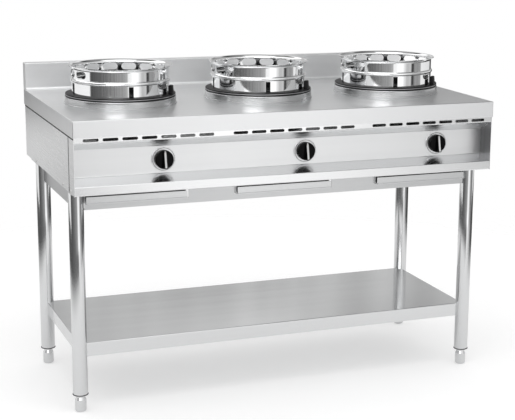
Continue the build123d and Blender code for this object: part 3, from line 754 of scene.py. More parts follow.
@dataclass
class CookingPlace:
    """Collar, black plate and wok ring of one bay."""

    bay: Bay
    turned: float               # how far round the loose ring and plate sit, in degrees
    wall: float = 2 * MM
    collar_radius: float = 151 * MM
    well_radius: float = 126.5 * MM
    bead: float = 1.8 * MM
    bend: float = 2.5 * MM
    ring_radius: float = 132 * MM
    ring_wall: float = 1.5 * MM
    ring_height: float = 76 * MM
    lip: float = 8 * MM
    lip_height: float = 10 * MM
    bead_low: float = 31 * MM
    bead_high: float = 42 * MM
    bead_out: float = 3.5 * MM
    slots: int = 10
    slot_first: float = -4.0
    slot_step: float = 23.0
    slot_length: float = 42 * MM
    slot_height: float = 19 * MM
    slot_level: float = 55.5 * MM
    notch_length: float = 42 * MM
    notch_depth: float = 13 * MM
    notches: Tuple[float, ...] = (-41.0, 139.0)
    slit: float = 13 * MM
    slits: Tuple[float, ...] = (-92.0, -175.0)
    plate_radius: float = 150 * MM
    plate_bore: float = 112 * MM
    plate_thickness: float = 8 * MM
    spigot: float = 9 * MM
    groove: float = 1.5 * MM
    rib_height: float = 5 * MM
    rib_width: float = 6 * MM
    edge: float = 0.7 * MM
    lug_angle: float = -32.0
    lug_height: float = 32 * MM
    lug_width: float = 20 * MM
    lug_thickness: float = 12 * MM
    lug_edge: float = 2.5 * MM

    def build(self) -> None:
        """Finds the bay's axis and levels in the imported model, and makes its pieces."""
        self.name = self.bay.value
        self.collar = "burner_collar_" + self.name
        self.centre = middle_of(self.collar)
        self.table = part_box("worktop")[1].z
        self.ring_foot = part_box("wok_ring_" + self.name)[0].z
        self.plate_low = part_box("burner_plate_" + self.name)[0].z + self.spigot
        self.make_collar()
        self.make_plate()
        self.make_groove_band()
        self.make_ring()

    def make_collar(self) -> None:
        """Brushed collar with a rolled foot, and its skirt down into the fire well."""
        low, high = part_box(self.collar)
        outer, inner = self.collar_radius, self.well_radius - self.wall
        line = rounded([(outer, self.table), (outer, high.z, self.bend),
                        (inner, high.z, self.bend), (inner, low.z)], closed=False)
        form = Form("collar_" + self.name)
        form.turn(walled(divided(line, 8 * MM), self.wall), self.centre, segments=160)
        root, rolled, top = outer - self.wall / 2, outer + self.bead, self.table + 2 * self.bead
        form.turn(rounded([(root, self.table), (rolled, self.table, 0.4 * MM),
                           (rolled, top, 1.4 * MM), (root, top)]), self.centre, segments=160)
        finish = BrushedSteel("collar " + self.name, stainless(0.52), 0.24, grain=Grain.ROUND,
                              centre=tuple(self.centre), depth=0.00012)
        finished(form.object(), finish, "range", [self.collar])

    def make_plate(self) -> None:
        """Black cast ring with a grooved rim, a centring rib and a locating lug."""
        low, high = self.plate_low, self.plate_low + self.plate_thickness
        third, rim, edge = self.plate_thickness / 3, self.plate_radius, self.edge
        spigot = self.well_radius - self.wall - 1.5 * MM
        rib = self.ring_radius - self.ring_wall - 1.5 * MM
        outline = rounded([
            (self.plate_bore, low - self.spigot, edge), (spigot, low - self.spigot, edge),
            (spigot, low), (rim, low, edge), (rim, low + third, edge),
            (rim - self.groove, low + third), (rim - self.groove, low + 2 * third),
            (rim, low + 2 * third, edge), (rim - self.groove / 2, high, edge),
            (rib, high, edge), (rib, high + self.rib_height, edge),
            (rib - self.rib_width, high + self.rib_height, edge),
            (self.plate_bore, high - 2 * MM, edge)], 4)
        plate = Form("plate_ring_" + self.name).turn(outline, self.centre, segments=144).object()
        outer, top = rim - 1 * MM, low + self.lug_height
        inner = outer - self.lug_thickness
        side = rounded([(inner, low + third), (outer, low + third),
                        (outer - self.lug_edge, top, self.lug_edge), (inner, top, self.lug_edge)])
        angle = math.radians(self.lug_angle + self.turned)
        lug = Form("lug").extrude(side, (self.centre.x, self.centre.y, 0.0),
                                  (math.cos(angle), math.sin(angle), 0.0), UP, self.lug_width)
        combined(plate, "UNION", lug.bevelled(2 * MM))
        finished(plate, BLACK_IRON, "plate_" + self.name,
                 ["burner_plate_" + self.name])

    def make_groove_band(self) -> None:
        """Lighter bare metal in the turned groove round the plate's rim, which also serves as a
        painted highlight line along the rim.
        """
        third, inset, edge = self.plate_thickness / 3, 0.2 * MM, 0.4 * MM
        low, high = self.plate_low + third + inset, self.plate_low + 2 * third - inset
        back, outer = self.plate_radius - self.groove - edge, self.plate_radius - 0.5 * MM
        outline = rounded([(back, low), (outer, low, edge), (outer, high, edge), (back, high)], 3)
        band = Form("plate_groove_" + self.name).turn(outline, self.centre, segments=144)
        finished(band.object(), GROOVE_BARE_AND_HIGHLIGHT, "plate_" + self.name)

    def ring_line(self) -> List[Point]:
        """Works out the outer face of the wok ring.

        Returns:
            Its points as (radius, height), from the foot to the lip.
        """
        radius, steps = self.ring_radius, 12
        neck, rise = self.ring_height - self.lip_height, self.lip_height - self.ring_wall
        middle, half = (self.bead_low + self.bead_high) / 2, (self.bead_high - self.bead_low) / 2
        line: List[Point] = [(radius, 0.0), (radius, self.bead_low - 1 * MM)]
        for step in range(steps + 1):
            share = math.pi * step / steps
            line.append((radius + self.bead_out * math.sin(share) ** 1.3,
                         middle - half * math.cos(share)))
        line.append((radius, neck))
        for step in range(1, steps + 1):
            share = math.pi / 2 * step / steps
            line.append((radius + self.lip * (1 - math.cos(share)),
                         neck + rise * math.sin(share) ** 0.9))
        return [(across, height + self.ring_foot) for across, height in divided(line, 7 * MM)]

    def make_ring(self) -> None:
        """Mirror-polished wok ring with its bead, flared lip, air slots, notches and slits."""
        band = Form("wok_ring_shell_" + self.name).turn(
            walled(self.ring_line(), self.ring_wall), self.centre, segments=180).object()
        end, top = self.slot_height / 2, self.bead_low - self.ring_wall
        slot = oblong(self.slot_length / 2, -end, end, end, 8)
        half, low, curve = self.notch_length / 2, top - self.notch_depth, 0.98 * self.notch_depth
        notch = rounded([(-half, low, curve), (half, low, curve), (half, top), (-half, top)], 10)
        slit = oblong(self.slit / 2, -2 * MM, top)
        places = [(slot, self.slot_first + number * self.slot_step, self.slot_level)
                  for number in range(self.slots)]
        places += [(notch, angle, 0.0) for angle in self.notches]
        places += [(slit, angle, 0.0) for angle in self.slits]
        cutters = Form("cutters")
        for outline, degrees, level in places:
            angle = math.radians(degrees + self.turned)
            out = Vector((math.cos(angle), math.sin(angle), 0.0))
            base = Vector((self.centre.x, self.centre.y, self.ring_foot + level))
            cutters.extrude(outline, base + out * self.ring_radius, (-out.y, out.x, 0.0), UP,
                            44 * MM)
        finished(combined(band, "DIFFERENCE", cutters), MIRROR_STEEL, "ring_" + self.name,
                 ["wok_ring_" + self.name], crease=30.0)


# ----------------------------------------------------------------- geometry nodes
class Pattern:
    """A geometry node tree with named inputs, whose result becomes a plain mesh."""

    label = "pattern"
    inputs: Sequence[Tuple[str, str, Any]] = ()

    def __init__(self) -> None:
        """Builds the tree: its inputs first, then its nodes."""
        self.tree = bpy.data.node_groups.new(self.label, "GeometryNodeTree")
        self.graph = Graph(self.tree)
        face = self.tree.interface
        self.sockets: Dict[str, str] = {}
        for name, kind, default in (*self.inputs, ("Finish", "Material", None)):
            socket = face.new_socket(name, in_out="INPUT", socket_type="NodeSocket" + kind)
            if default is not None:
                socket.default_value = default
            self.sockets[name] = socket.identifier
        face.new_socket("Geometry", in_out="OUTPUT", socket_type="NodeSocketGeometry")
        self.given = self.tree.nodes.new("NodeGroupInput")
        real = self.graph.node("GeometryNodeRealizeInstances", [self.make()])
        painted = self.graph.node("GeometryNodeSetMaterial", {
            "Geometry": real, "Material": self.value("Finish")})
        self.graph.node("NodeGroupOutput", {"Geometry": painted})

    def value(self, name: str) -> Signal:
        """One of the tree's inputs."""
        return Signal(self.graph, self.given.outputs[name])

    def make(self) -> Signal:
        """The nodes of the pattern; each pattern has its own."""
        raise NotImplementedError

    def points(self, x: Any, y: Any, z: Any) -> Signal:
        """Points whose places are given in radii from the centre."""
        spot = self.graph.scaled(self.graph.join(x, y, z), self.value("Radius"))
        return self.graph.node("GeometryNodePoints", {
            "Count": self.value("Count"),
            "Position": self.graph.vector("ADD", spot, self.value("Centre"))})

    def copies(self, points: Signal, model: Signal, angles: Signal) -> Signal:
        """The model on every point, turned by three angles."""
        turn = self.graph.node("FunctionNodeEulerToRotation", [angles])
        return self.graph.node("GeometryNodeInstanceOnPoints", {
            "Points": points, "Instance": model, "Rotation": turn})

    def model(self) -> Signal:
        """The mesh of the object that is copied."""
        return self.graph.node("GeometryNodeObjectInfo", [self.value("Model")], "Geometry")

    def apply(self, piece: bpy.types.Object, values: Dict[str, Any], finish: Finish) -> None:
        """Runs the tree on a piece and bakes the result.

        Args:
            piece: The object that receives the mesh.
            values: The inputs by name.
            finish: The material of what is made.
        """
        modifier = piece.modifiers.new(self.label, "NODES")
        modifier.node_group = self.tree
        for name, value in {**values, "Finish": finish.material()}.items():
            modifier[self.sockets[name]] = value
        bake(piece)


class MarkRing(Pattern):
    """Short bars standing round an arc, in a plane that faces the front."""

    label = "mark ring"
    inputs = (("Count", "Int", 11), ("Arc", "Float", 4.0), ("Radius", "Float", 0.03),
              ("Length", "Float", 0.002), ("Width", "Float", 0.0006),
              ("Height", "Float", 0.0002), ("Centre", "Vector", ORIGIN))

    def make(self) -> Signal:
        """Spreads the bars evenly over the arc, which is open at the bottom.

        Returns:
            The bars, as instances.
        """
        graph = self.graph
        share = graph.node("GeometryNodeInputIndex") / (self.value("Count") - 1.0)
        angle = share * self.value("Arc") - 0.5 * self.value("Arc")
        bar = graph.node("GeometryNodeMeshCube", [graph.join(
            self.value("Width"), 2.0 * self.value("Height"), self.value("Length"))])
        return self.copies(self.points(angle.sine(), 0.0, angle.cosine()), bar,
                           graph.join(0.0, angle, 0.0))


class Around(Pattern):
    """Copies of one model, evenly round an upright axis and turned with it."""

    label = "round an axis"
    inputs = (("Model", "Object", None), ("Count", "Int", 8), ("Radius", "Float", 0.05),
              ("Centre", "Vector", ORIGIN))

    def make(self) -> Signal:
        """Sets the model on the points of a circle.

        Returns:
            The copies, as instances.
        """
        index = self.graph.node("GeometryNodeInputIndex")
        angle = index / self.value("Count") * (2 * math.pi)
        return self.copies(self.points(angle.cosine(), angle.sine(), 0.0), self.model(),
                           self.graph.join(0.0, 0.0, angle))


class Repeated(Pattern):
    """Copies of one model on every point of the piece's own mesh."""

    label = "repeated"
    inputs = (("Geometry", "Geometry", None), ("Model", "Object", None),
              ("Tilt", "Vector", ORIGIN))

    def make(self) -> Signal:
        """The model on the mesh's points, tilted by one rotation."""
        points = self.graph.node("GeometryNodeMeshToPoints", [self.value("Geometry")])
        return self.copies(points, self.model(), self.value("Tilt"))


def points_piece(name: str, spots: Iterable[Place]) -> bpy.types.Object:
    """An object that holds only points, for a pattern to set its model on.

    Args:
        name: Name of the piece.
        spots: The points.

    Returns:
        The object.
    """
    form = Form(name)
    for spot in spots:
        form.mesh.verts.new(spot)
    return form.object()


# ----------------------------------------------------------------------- controls
@dataclass
class Control:
    """Dial disc, knob and pointer of one gas tap."""

    bay: Bay
    skirt_radius: float = 25 * MM
    skirt: float = 8 * MM
    grip: float = 11 * MM
    grip_inset: float = 2.5 * MM
    grip_top: float = 12 * MM
    grip_root: float = 3 * MM
    bar_width: float = 5.2 * MM
    bar_raise: float = 0.35 * MM
    bar_inset: float = 2.4 * MM
    bar_corner: float = 0.8 * MM
    nub: float = 1.7 * MM
    dial_radius: float = 33 * MM
    dial_bore: float = 4.5 * MM
    line: float = 0.45 * MM
    print_and_shade_height: float = 0.12 * MM
    marks: int = 11
    mark_arc: float = 250.0

    def build(self) -> None:
        """Finds the tap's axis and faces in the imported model, and makes the pieces."""
        self.name = self.bay.value
        low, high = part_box("knob_" + self.name)
        self.axis = (low + high) / 2
        self.front, self.back = low.y, high.y
        self.dial_front, self.dial_back = (corner.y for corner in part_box("knob_bezels"))
        self.make_knob()
        self.make_pointer()
        self.make_dial()
        self.make_groove_shade()
        self.make_marks()

    def make_knob(self) -> None:
        """Round skirt and a grip bar whose front leans out downwards, in one moulding."""
        radius, back, face = self.skirt_radius, self.back, self.back - self.skirt
        outline = rounded([(0.0, back - 1 * MM), (radius - 2.5 * MM, back - 1 * MM),
                           (radius - 2 * MM, back), (radius, back, 0.6 * MM),
                           (radius - 0.4 * MM, face, 2.4 * MM), (0.0, face - 0.4 * MM)])
        knob = Form("knob_body_" + self.name).turn(outline, self.axis, Axis.OUT, closed=False)
        reach, root = radius - self.grip_inset, back - self.grip_root
        side = [(root, reach), (back - self.grip_top, reach), (self.front, -reach), (root, -reach)]
        bar = Form("bar").extrude(side, (self.axis.x, 0.0, self.axis.z), INTO, UP, self.grip)
        body = combined(knob.object(), "UNION", bar.bevelled(2.2 * MM, 4))
        finished(body, KNOB_BLACK, "control_" + self.name, ["knob_" + self.name])

    def make_pointer(self) -> None:
        """White line down the grip's front, and a nub on the skirt above it."""
        top, upper = self.skirt_radius - self.grip_inset, self.back - self.grip_top
        face = Vector((self.front - upper, -2 * top))
        down = face.normalized()
        bar = oblong(self.bar_width / 2, self.bar_inset, face.length - self.bar_inset,
                     self.bar_corner, 4)
        pointer = Form("pointer_" + self.name).extrude(
            bar, (self.axis.x, upper, self.axis.z + top), RIGHT, (0.0, down.x, down.y),
            2 * self.bar_raise)
        rim = self.skirt_radius - 3.2 * MM
        pointer.extrude(oblong(self.nub, rim - 1.2 * MM, rim + 1.6 * MM, self.bar_corner, 4),
                        (self.axis.x, upper - 0.2 * MM, self.axis.z), RIGHT, UP, 1.2 * MM)
        pointer.bevelled(0.15 * MM, 2)
        finished(pointer.object(), POINTER_WHITE, "control_" + self.name)

    def make_dial(self) -> None:
        """Spun dial disc with a rolled rim and a line near it."""
        radius, front, back = self.dial_radius, self.dial_front, self.dial_back
        line, deep, edge = radius - 3 * MM, front + 0.6 * MM, 0.2 * MM
        outline = rounded([(self.dial_bore, back), (self.dial_bore, front),
                           (line - 1 * MM, front, edge), (line - 0.9 * MM, deep),
                           (line, deep), (line + 0.1 * MM, front, edge),
                           (radius, front, 0.8 * MM), (radius, back)], 5)
        dial = Form("dial_" + self.name).turn(outline, self.axis, Axis.OUT, 128)
        finish = BrushedSteel("dial " + self.name, stainless(0.76), 0.30, grain=Grain.SPUN,
                              centre=tuple(self.axis))
        finished(dial.object(), finish, "range",
                 ["knob_bezels"] if self.bay is Bay.LEFT else [])

    def make_groove_shade(self) -> None:
        """Dark circle that fills the dial's turned groove round its scale, as painted shade in the
        groove.
        """
        middle, half = self.dial_radius - 3.5 * MM, self.line
        deep, proud = self.dial_front + 0.3 * MM, self.dial_front - self.print_and_shade_height
        outline = [(middle - half, deep), (middle - half, proud), (middle + half, proud),
                   (middle + half, deep)]
        circle = Form("dial_line_" + self.name).turn(outline, self.axis, Axis.OUT, 128)
        # painted shade: the dark circle sits inside the dial's groove
        finished(circle.object(), MARKS_AND_GROOVE_SHADE, "range")

    def make_marks(self) -> None:
        """Scale marks round the dial, placed by geometry nodes."""
        piece = Form("dial_marks_" + self.name).object()
        MarkRing().apply(piece, {
            "Count": self.marks, "Arc": math.radians(self.mark_arc),
            "Radius": self.dial_radius - 1.9 * MM, "Length": 1.7 * MM, "Width": 0.6 * MM,
            "Height": self.print_and_shade_height,
            "Centre": (self.axis.x, self.dial_front, self.axis.z)}, MARKS_AND_GROOVE_SHADE)
        finished(piece, MARKS_AND_GROOVE_SHADE, "range")


# ------------------------------------------------------------------- legs and body
@dataclass
class Leg:
    """Polished tube leg with its bullet foot."""

    corner: str
    radius: float = 20 * MM
    wall: float = 1.5 * MM
    flange: float = 1.4 * MM
    foot_radius: float = 15.5 * MM
    foot_height: float = 46 * MM
    neck: float = 12 * MM
    stud: float = 5 * MM
    pitch: float = 1.5 * MM
    thread: float = 0.7 * MM

    def build(self) -> None:
        """Makes the tube, the rim of its plug and the foot."""
        self.low, self.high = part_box("leg_" + self.corner)
        self.axis = (self.low + self.high) / 2
        self.make_tube()
        self.make_flange()
        self.make_foot()

    def make_tube(self) -> None:
        """Tube with softened ends."""
        outer, inner, edge = self.radius, self.radius - self.wall, 0.5 * MM
        outline = rounded([(outer, self.low.z, edge), (outer, self.high.z, edge),
                           (inner, self.high.z, edge), (inner, self.low.z, edge)], 3)
        tube = Form("leg_tube_" + self.corner).turn(outline, self.axis)
        finished(tube.object(), TUBE, "range", ["leg_" + self.corner])

    def make_flange(self) -> None:
        """Rim of the threaded plug, under the tube's end."""
        bore, rim, end = self.stud + 0.4 * MM, self.radius + self.flange, self.low.z
        outline = rounded([(bore, end - 2.2 * MM), (rim - 3 * MM, end - 2.2 * MM, 1 * MM),
                           (rim, end - 0.8 * MM, 0.8 * MM), (rim, end + 1.2 * MM, 0.8 * MM),
                           (bore, end + 1.2 * MM)], 4)
        flange = Form("leg_flange_" + self.corner).turn(outline, self.axis, segments=72)
        finished(flange.object(), DARK_RIM, "range")

    def make_foot(self) -> None:
        """Turned foot: rounded heel, straight side, waist, neck and threaded stud."""
        low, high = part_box("foot_" + self.corner)
        radius, neck, root = self.foot_radius, self.neck, self.stud - self.thread
        shoulder = low.z + self.foot_height
        outline: List[Point] = [
            (0.0, low.z), (radius, low.z, 5.5 * MM),
            (radius - 0.4 * MM, low.z + 33 * MM, 3 * MM), (neck, low.z + 40 * MM, 1 * MM),
            (neck, shoulder, 0.5 * MM), (self.stud, shoulder)]
        level = shoulder + self.pitch
        while level + self.pitch < high.z:
            outline += [(root, level), (self.stud, level + self.pitch / 2)]
            level += self.pitch
        outline += [(root, high.z - 0.2 * MM), (0.0, high.z)]
        foot = Form("foot_turned_" + self.corner).turn(
            rounded(outline, 5, closed=False), (low + high) / 2, segments=72, closed=False)
        finished(foot.object(), TUBE, "adjuster_" + self.corner,
                 ["foot_" + self.corner])


@dataclass
class Cabinet:
    """Sheet-metal body, frame, shelf and gas parts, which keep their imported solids."""

    dressed: Tuple[Tuple[Finish, str], ...] = (
        (SHEET_TOP, "worktop"), (SHEET_BACK, "backsplash"), (PANEL, "front_fascia"),
        (SHEET_SIDE, "side_panel_left side_panel_right fascia_cheek_left"),
        (CHEEK, "fascia_cheek_right"), (SHEET, "back_panel"), (SHEET_SHELF, "shelf"),
        (FRAME, "front_beam rear_beam side_beams base_bearers burner_crossbars tray_runners "
                "corner_plates gas_manifold"),
        (PLATED, "foot_inserts feed_tubes"), (TAP_BRASS, "gas_inlet"), (PILOT, "pilot_burners"),
        (TRAY, "drip_tray_left drip_tray_centre drip_tray_right"),
        (TAP_BRASS, "gas_tap_left gas_tap_centre gas_tap_right"),
        (TAP_BRASS, "tap_rotor_left tap_rotor_centre tap_rotor_right"),
        (PLATED, "tap_spindle_left tap_spindle_centre tap_spindle_right"))

    def build(self) -> None:
        """Gives every node of the body and of the bays' insides its finish."""
        for finish, names in self.dressed:
            for name in names.split():
                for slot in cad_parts[name].material_slots:
                    slot.material = finish.material()
                LOG.info("%s keeps its solid, in %s", name, finish.label)


@dataclass
class Seams:
    """Dark strips of painted shadow in the joints that the folded sheets leave between them."""

    line: float = 5.5 * MM      # height of the joint under the worktop
    upright: float = 2.4 * MM   # width of the joint between side panel and cheek
    deep: float = 1 * MM        # how far the painted shadow strip goes into the sheet
    proud: float = 0.5 * MM     # how far it stands out of it

    def build(self) -> None:
        """Makes the painted shadow strips in the joints of both sides."""
        low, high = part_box("side_panel_left")
        lid, cheek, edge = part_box("worktop")[0].z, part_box("fascia_cheek_left"), 0.3 * MM
        half = (high.y - cheek[0].y - 2 * MM) / 2
        bar = rounded([(-half, -self.line, edge), (half, -self.line, edge),
                       (half, 0.0), (-half, 0.0)], 3)
        side, tall = self.upright / 2, lid - self.line - low.z - 1 * MM
        post = rounded([(-side, 0.0, edge), (side, 0.0, edge), (side, tall), (-side, tall)], 3)
        for name, sign in (("left", -1), ("right", 1)):
            middle = sign * (-low.x + (self.proud - self.deep) / 2)
            form = Form("seams_" + name)
            for outline, y, z in (
                    (bar, (high.y + cheek[0].y) / 2, lid + 0.4 * MM),
                    (post, (low.y + cheek[1].y) / 2, low.z + 1 * MM)):
                form.extrude(outline, (middle, y, z), INTO, UP, self.deep + self.proud)
            # painted shadow: each strip stands for the shade inside a thin gap
            finished(form.object(), SEAM_SHADE, "range")


@dataclass
class Fasteners:
    """Cross-recessed side screws, and hexagon bolts with nuts beside the legs."""

    screw_radius: float = 4 * MM
    screw_head: float = 1.8 * MM
    screw_shank: float = 3 * MM
    screw_step: float = 96 * MM
    cross_arm: float = 2.1 * MM
    cross_width: float = 0.45 * MM
    cross_depth: float = 0.8 * MM
    bolt_across: float = 5.8 * MM
    bolt_head: float = 4 * MM
    bolt_shank: float = 3 * MM
    bolt_step: float = 42 * MM
    nut: float = 5 * MM

    def build(self) -> None:
        """Makes both kinds, each model once, and sets it at every place."""
        self.make_screws()
        self.make_bolts()

    def make_screws(self) -> None:
        """Domed heads with a cross recess, along the bottom of both sides."""
        low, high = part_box("side_screws")
        radius, head, root = self.screw_radius, self.screw_head, self.screw_radius / 2
        dome = rounded([(0.0, -self.screw_shank), (root, -self.screw_shank), (root, 0.0),
                        (radius, 0.0, 0.1 * MM), (radius, head * 0.45, 0.5 * MM),
                        (radius * 0.55, head * 0.98, 1.2 * MM), (0.0, head)], 4)
        screw = Form("screw").turn(dome, segments=32, closed=False).object()
        cross = Form("cross")
        for along, across in ((self.cross_arm, self.cross_width),
                              (self.cross_width, self.cross_arm)):
            cross.extrude(oblong(along, -across, across), (0.0, 0.0, head), RIGHT, INTO,
                          2 * self.cross_depth)
        combined(screw, "DIFFERENCE", cross)
        first, last = low.y + radius, high.y - radius
        for name, sign in (("left", -1), ("right", 1)):
            piece = points_piece("side_screws_" + name, [
                (sign * (high.x - head), y, (low.z + high.z) / 2)
                for y in (first, first + self.screw_step, last)])
            Repeated().apply(piece, {"Model": screw, "Tilt": (0.0, sign * math.pi / 2, 0.0)},
                             PLATED)
            finished(piece, PLATED, "range",
                     ["side_screws"] if name == "left" else [])
        bpy.data.objects.remove(screw)

    def make_bolts(self) -> None:
        """Bolts up through the corner plates, with nuts inside the cabinet."""
        low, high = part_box("leg_bolts")
        corners = [(self.bolt_across * math.cos(math.pi * side / 3),
                    self.bolt_across * math.sin(math.pi * side / 3), 0.4 * MM)
                   for side in range(6)]
        bolt = Form("bolt")
        for under, height in ((low.z, self.bolt_head), (high.z - self.nut, self.nut)):
            bolt.extrude(rounded(corners, 3), (0.0, 0.0, under + height / 2), RIGHT, INTO, height)
        shank, foot = self.bolt_shank, low.z + 1 * MM
        bolt.turn(rounded([(0.0, foot), (shank, foot), (shank, high.z, 0.5 * MM), (0.0, high.z)],
                          3), segments=32, closed=False)
        model = bolt.object()
        x, legs = high.x - self.bolt_across, ("front_left", "back_left")
        piece = points_piece("leg_bolts_set", [
            (sign * x, middle_of("leg_" + corner).y + step, 0.0) for sign in (-1, 1)
            for corner in legs for step in (-self.bolt_step, self.bolt_step)])
        Repeated().apply(piece, {"Model": model, "Tilt": ORIGIN}, PLATED)
        finished(piece, PLATED, "range", ["leg_bolts"])
        bpy.data.objects.remove(model)


@dataclass
class Burner:
    """Cast burner head with two circles of nozzles, its mixing tube and its four feet."""

    bay: Bay
    radius: float = 72 * MM
    thickness: float = 42 * MM
    rim_width: float = 30 * MM
    dish: float = 3 * MM
    boss: float = 9 * MM
    tube: float = 16 * MM
    bore: float = 13 * MM
    flare: float = 6 * MM
    flare_length: float = 20 * MM
    below_well: float = 2 * MM
    foot: float = 8 * MM
    spread: float = 45 * MM
    nozzle: float = 5 * MM
    jet: float = 2.5 * MM
    nozzle_height: float = 12 * MM
    circles: Tuple[Tuple[float, int], ...] = ((57.6 * MM, 16), (28.8 * MM, 8))

    def build(self) -> None:
        """Makes the casting and its nozzles."""
        self.name = self.bay.value
        self.low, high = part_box("burner_" + self.name)
        self.axis = middle_of("burner_collar_" + self.name)
        self.top = high.z - self.nozzle_height
        self.make_casting()
        self.make_nozzles()

    def make_casting(self) -> None:
        """Head, feet and mixing tube as one casting."""
        radius, top, under = self.radius, self.top, self.top - self.thickness
        waist, floor, rim = radius - 1.5 * MM, top - self.dish, radius - self.rim_width
        head = rounded([(0.0, under), (radius, under, 10 * MM),
                        (radius, top - 14 * MM, 1 * MM), (waist, top - 13 * MM, 1 * MM),
                        (waist, top, 4 * MM), (rim, top, 3 * MM),
                        (rim - self.dish, floor, 3 * MM), (self.boss + 3 * MM, floor, 3 * MM),
                        (self.boss, top, 2 * MM), (0.0, top)], 5)
        form = Form("burner_casting_" + self.name)
        form.turn(head, self.axis, closed=False)
        mouth, end = self.low.y, self.axis.y - radius / 2
        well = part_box("burner_collar_" + self.name)[0].z
        level = well - self.tube - self.flare - self.below_well
        wall = rounded([(self.bore, mouth, 1 * MM), (self.tube + self.flare, mouth, 1 * MM),
                        (self.tube, mouth + self.flare_length, 6 * MM), (self.tube, end),
                        (self.bore, end)], 5)
        form.turn(wall, (self.axis.x, 0.0, level), Axis.OUT, 48)
        joint = under + 12 * MM
        leg = rounded([(0.0, self.low.z), (self.foot, self.low.z, 1 * MM), (self.foot, joint),
                       (0.0, joint)], 3)
        for across in (-self.spread, self.spread):
            for along in (-self.spread, self.spread):
                form.turn(leg, (self.axis.x + across, self.axis.y + along, 0.0), segments=32,
                          closed=False)
        finished(form.object(), BURNER_IRON, "range", ["burner_" + self.name])

    def make_nozzles(self) -> None:
        """Nozzles with their jets, set round both circles by geometry nodes."""
        outer, inner, tall = self.nozzle, self.jet, self.nozzle_height
        outline = rounded([(inner, -1 * MM), (outer, -1 * MM), (outer, tall, 1.2 * MM),
                           (inner, tall, 0.6 * MM)], 3)
        model = Form("nozzle").turn(outline, segments=20).object()
        for number, (radius, count) in enumerate(self.circles):
            piece = Form("nozzles_%d_%s" % (number, self.name)).object()
            Around().apply(piece, {
                "Model": model, "Count": count, "Radius": radius,
                "Centre": (self.axis.x, self.axis.y, self.top)}, BURNER_IRON)
            finished(piece, BURNER_IRON, "range")
        bpy.data.objects.remove(model)


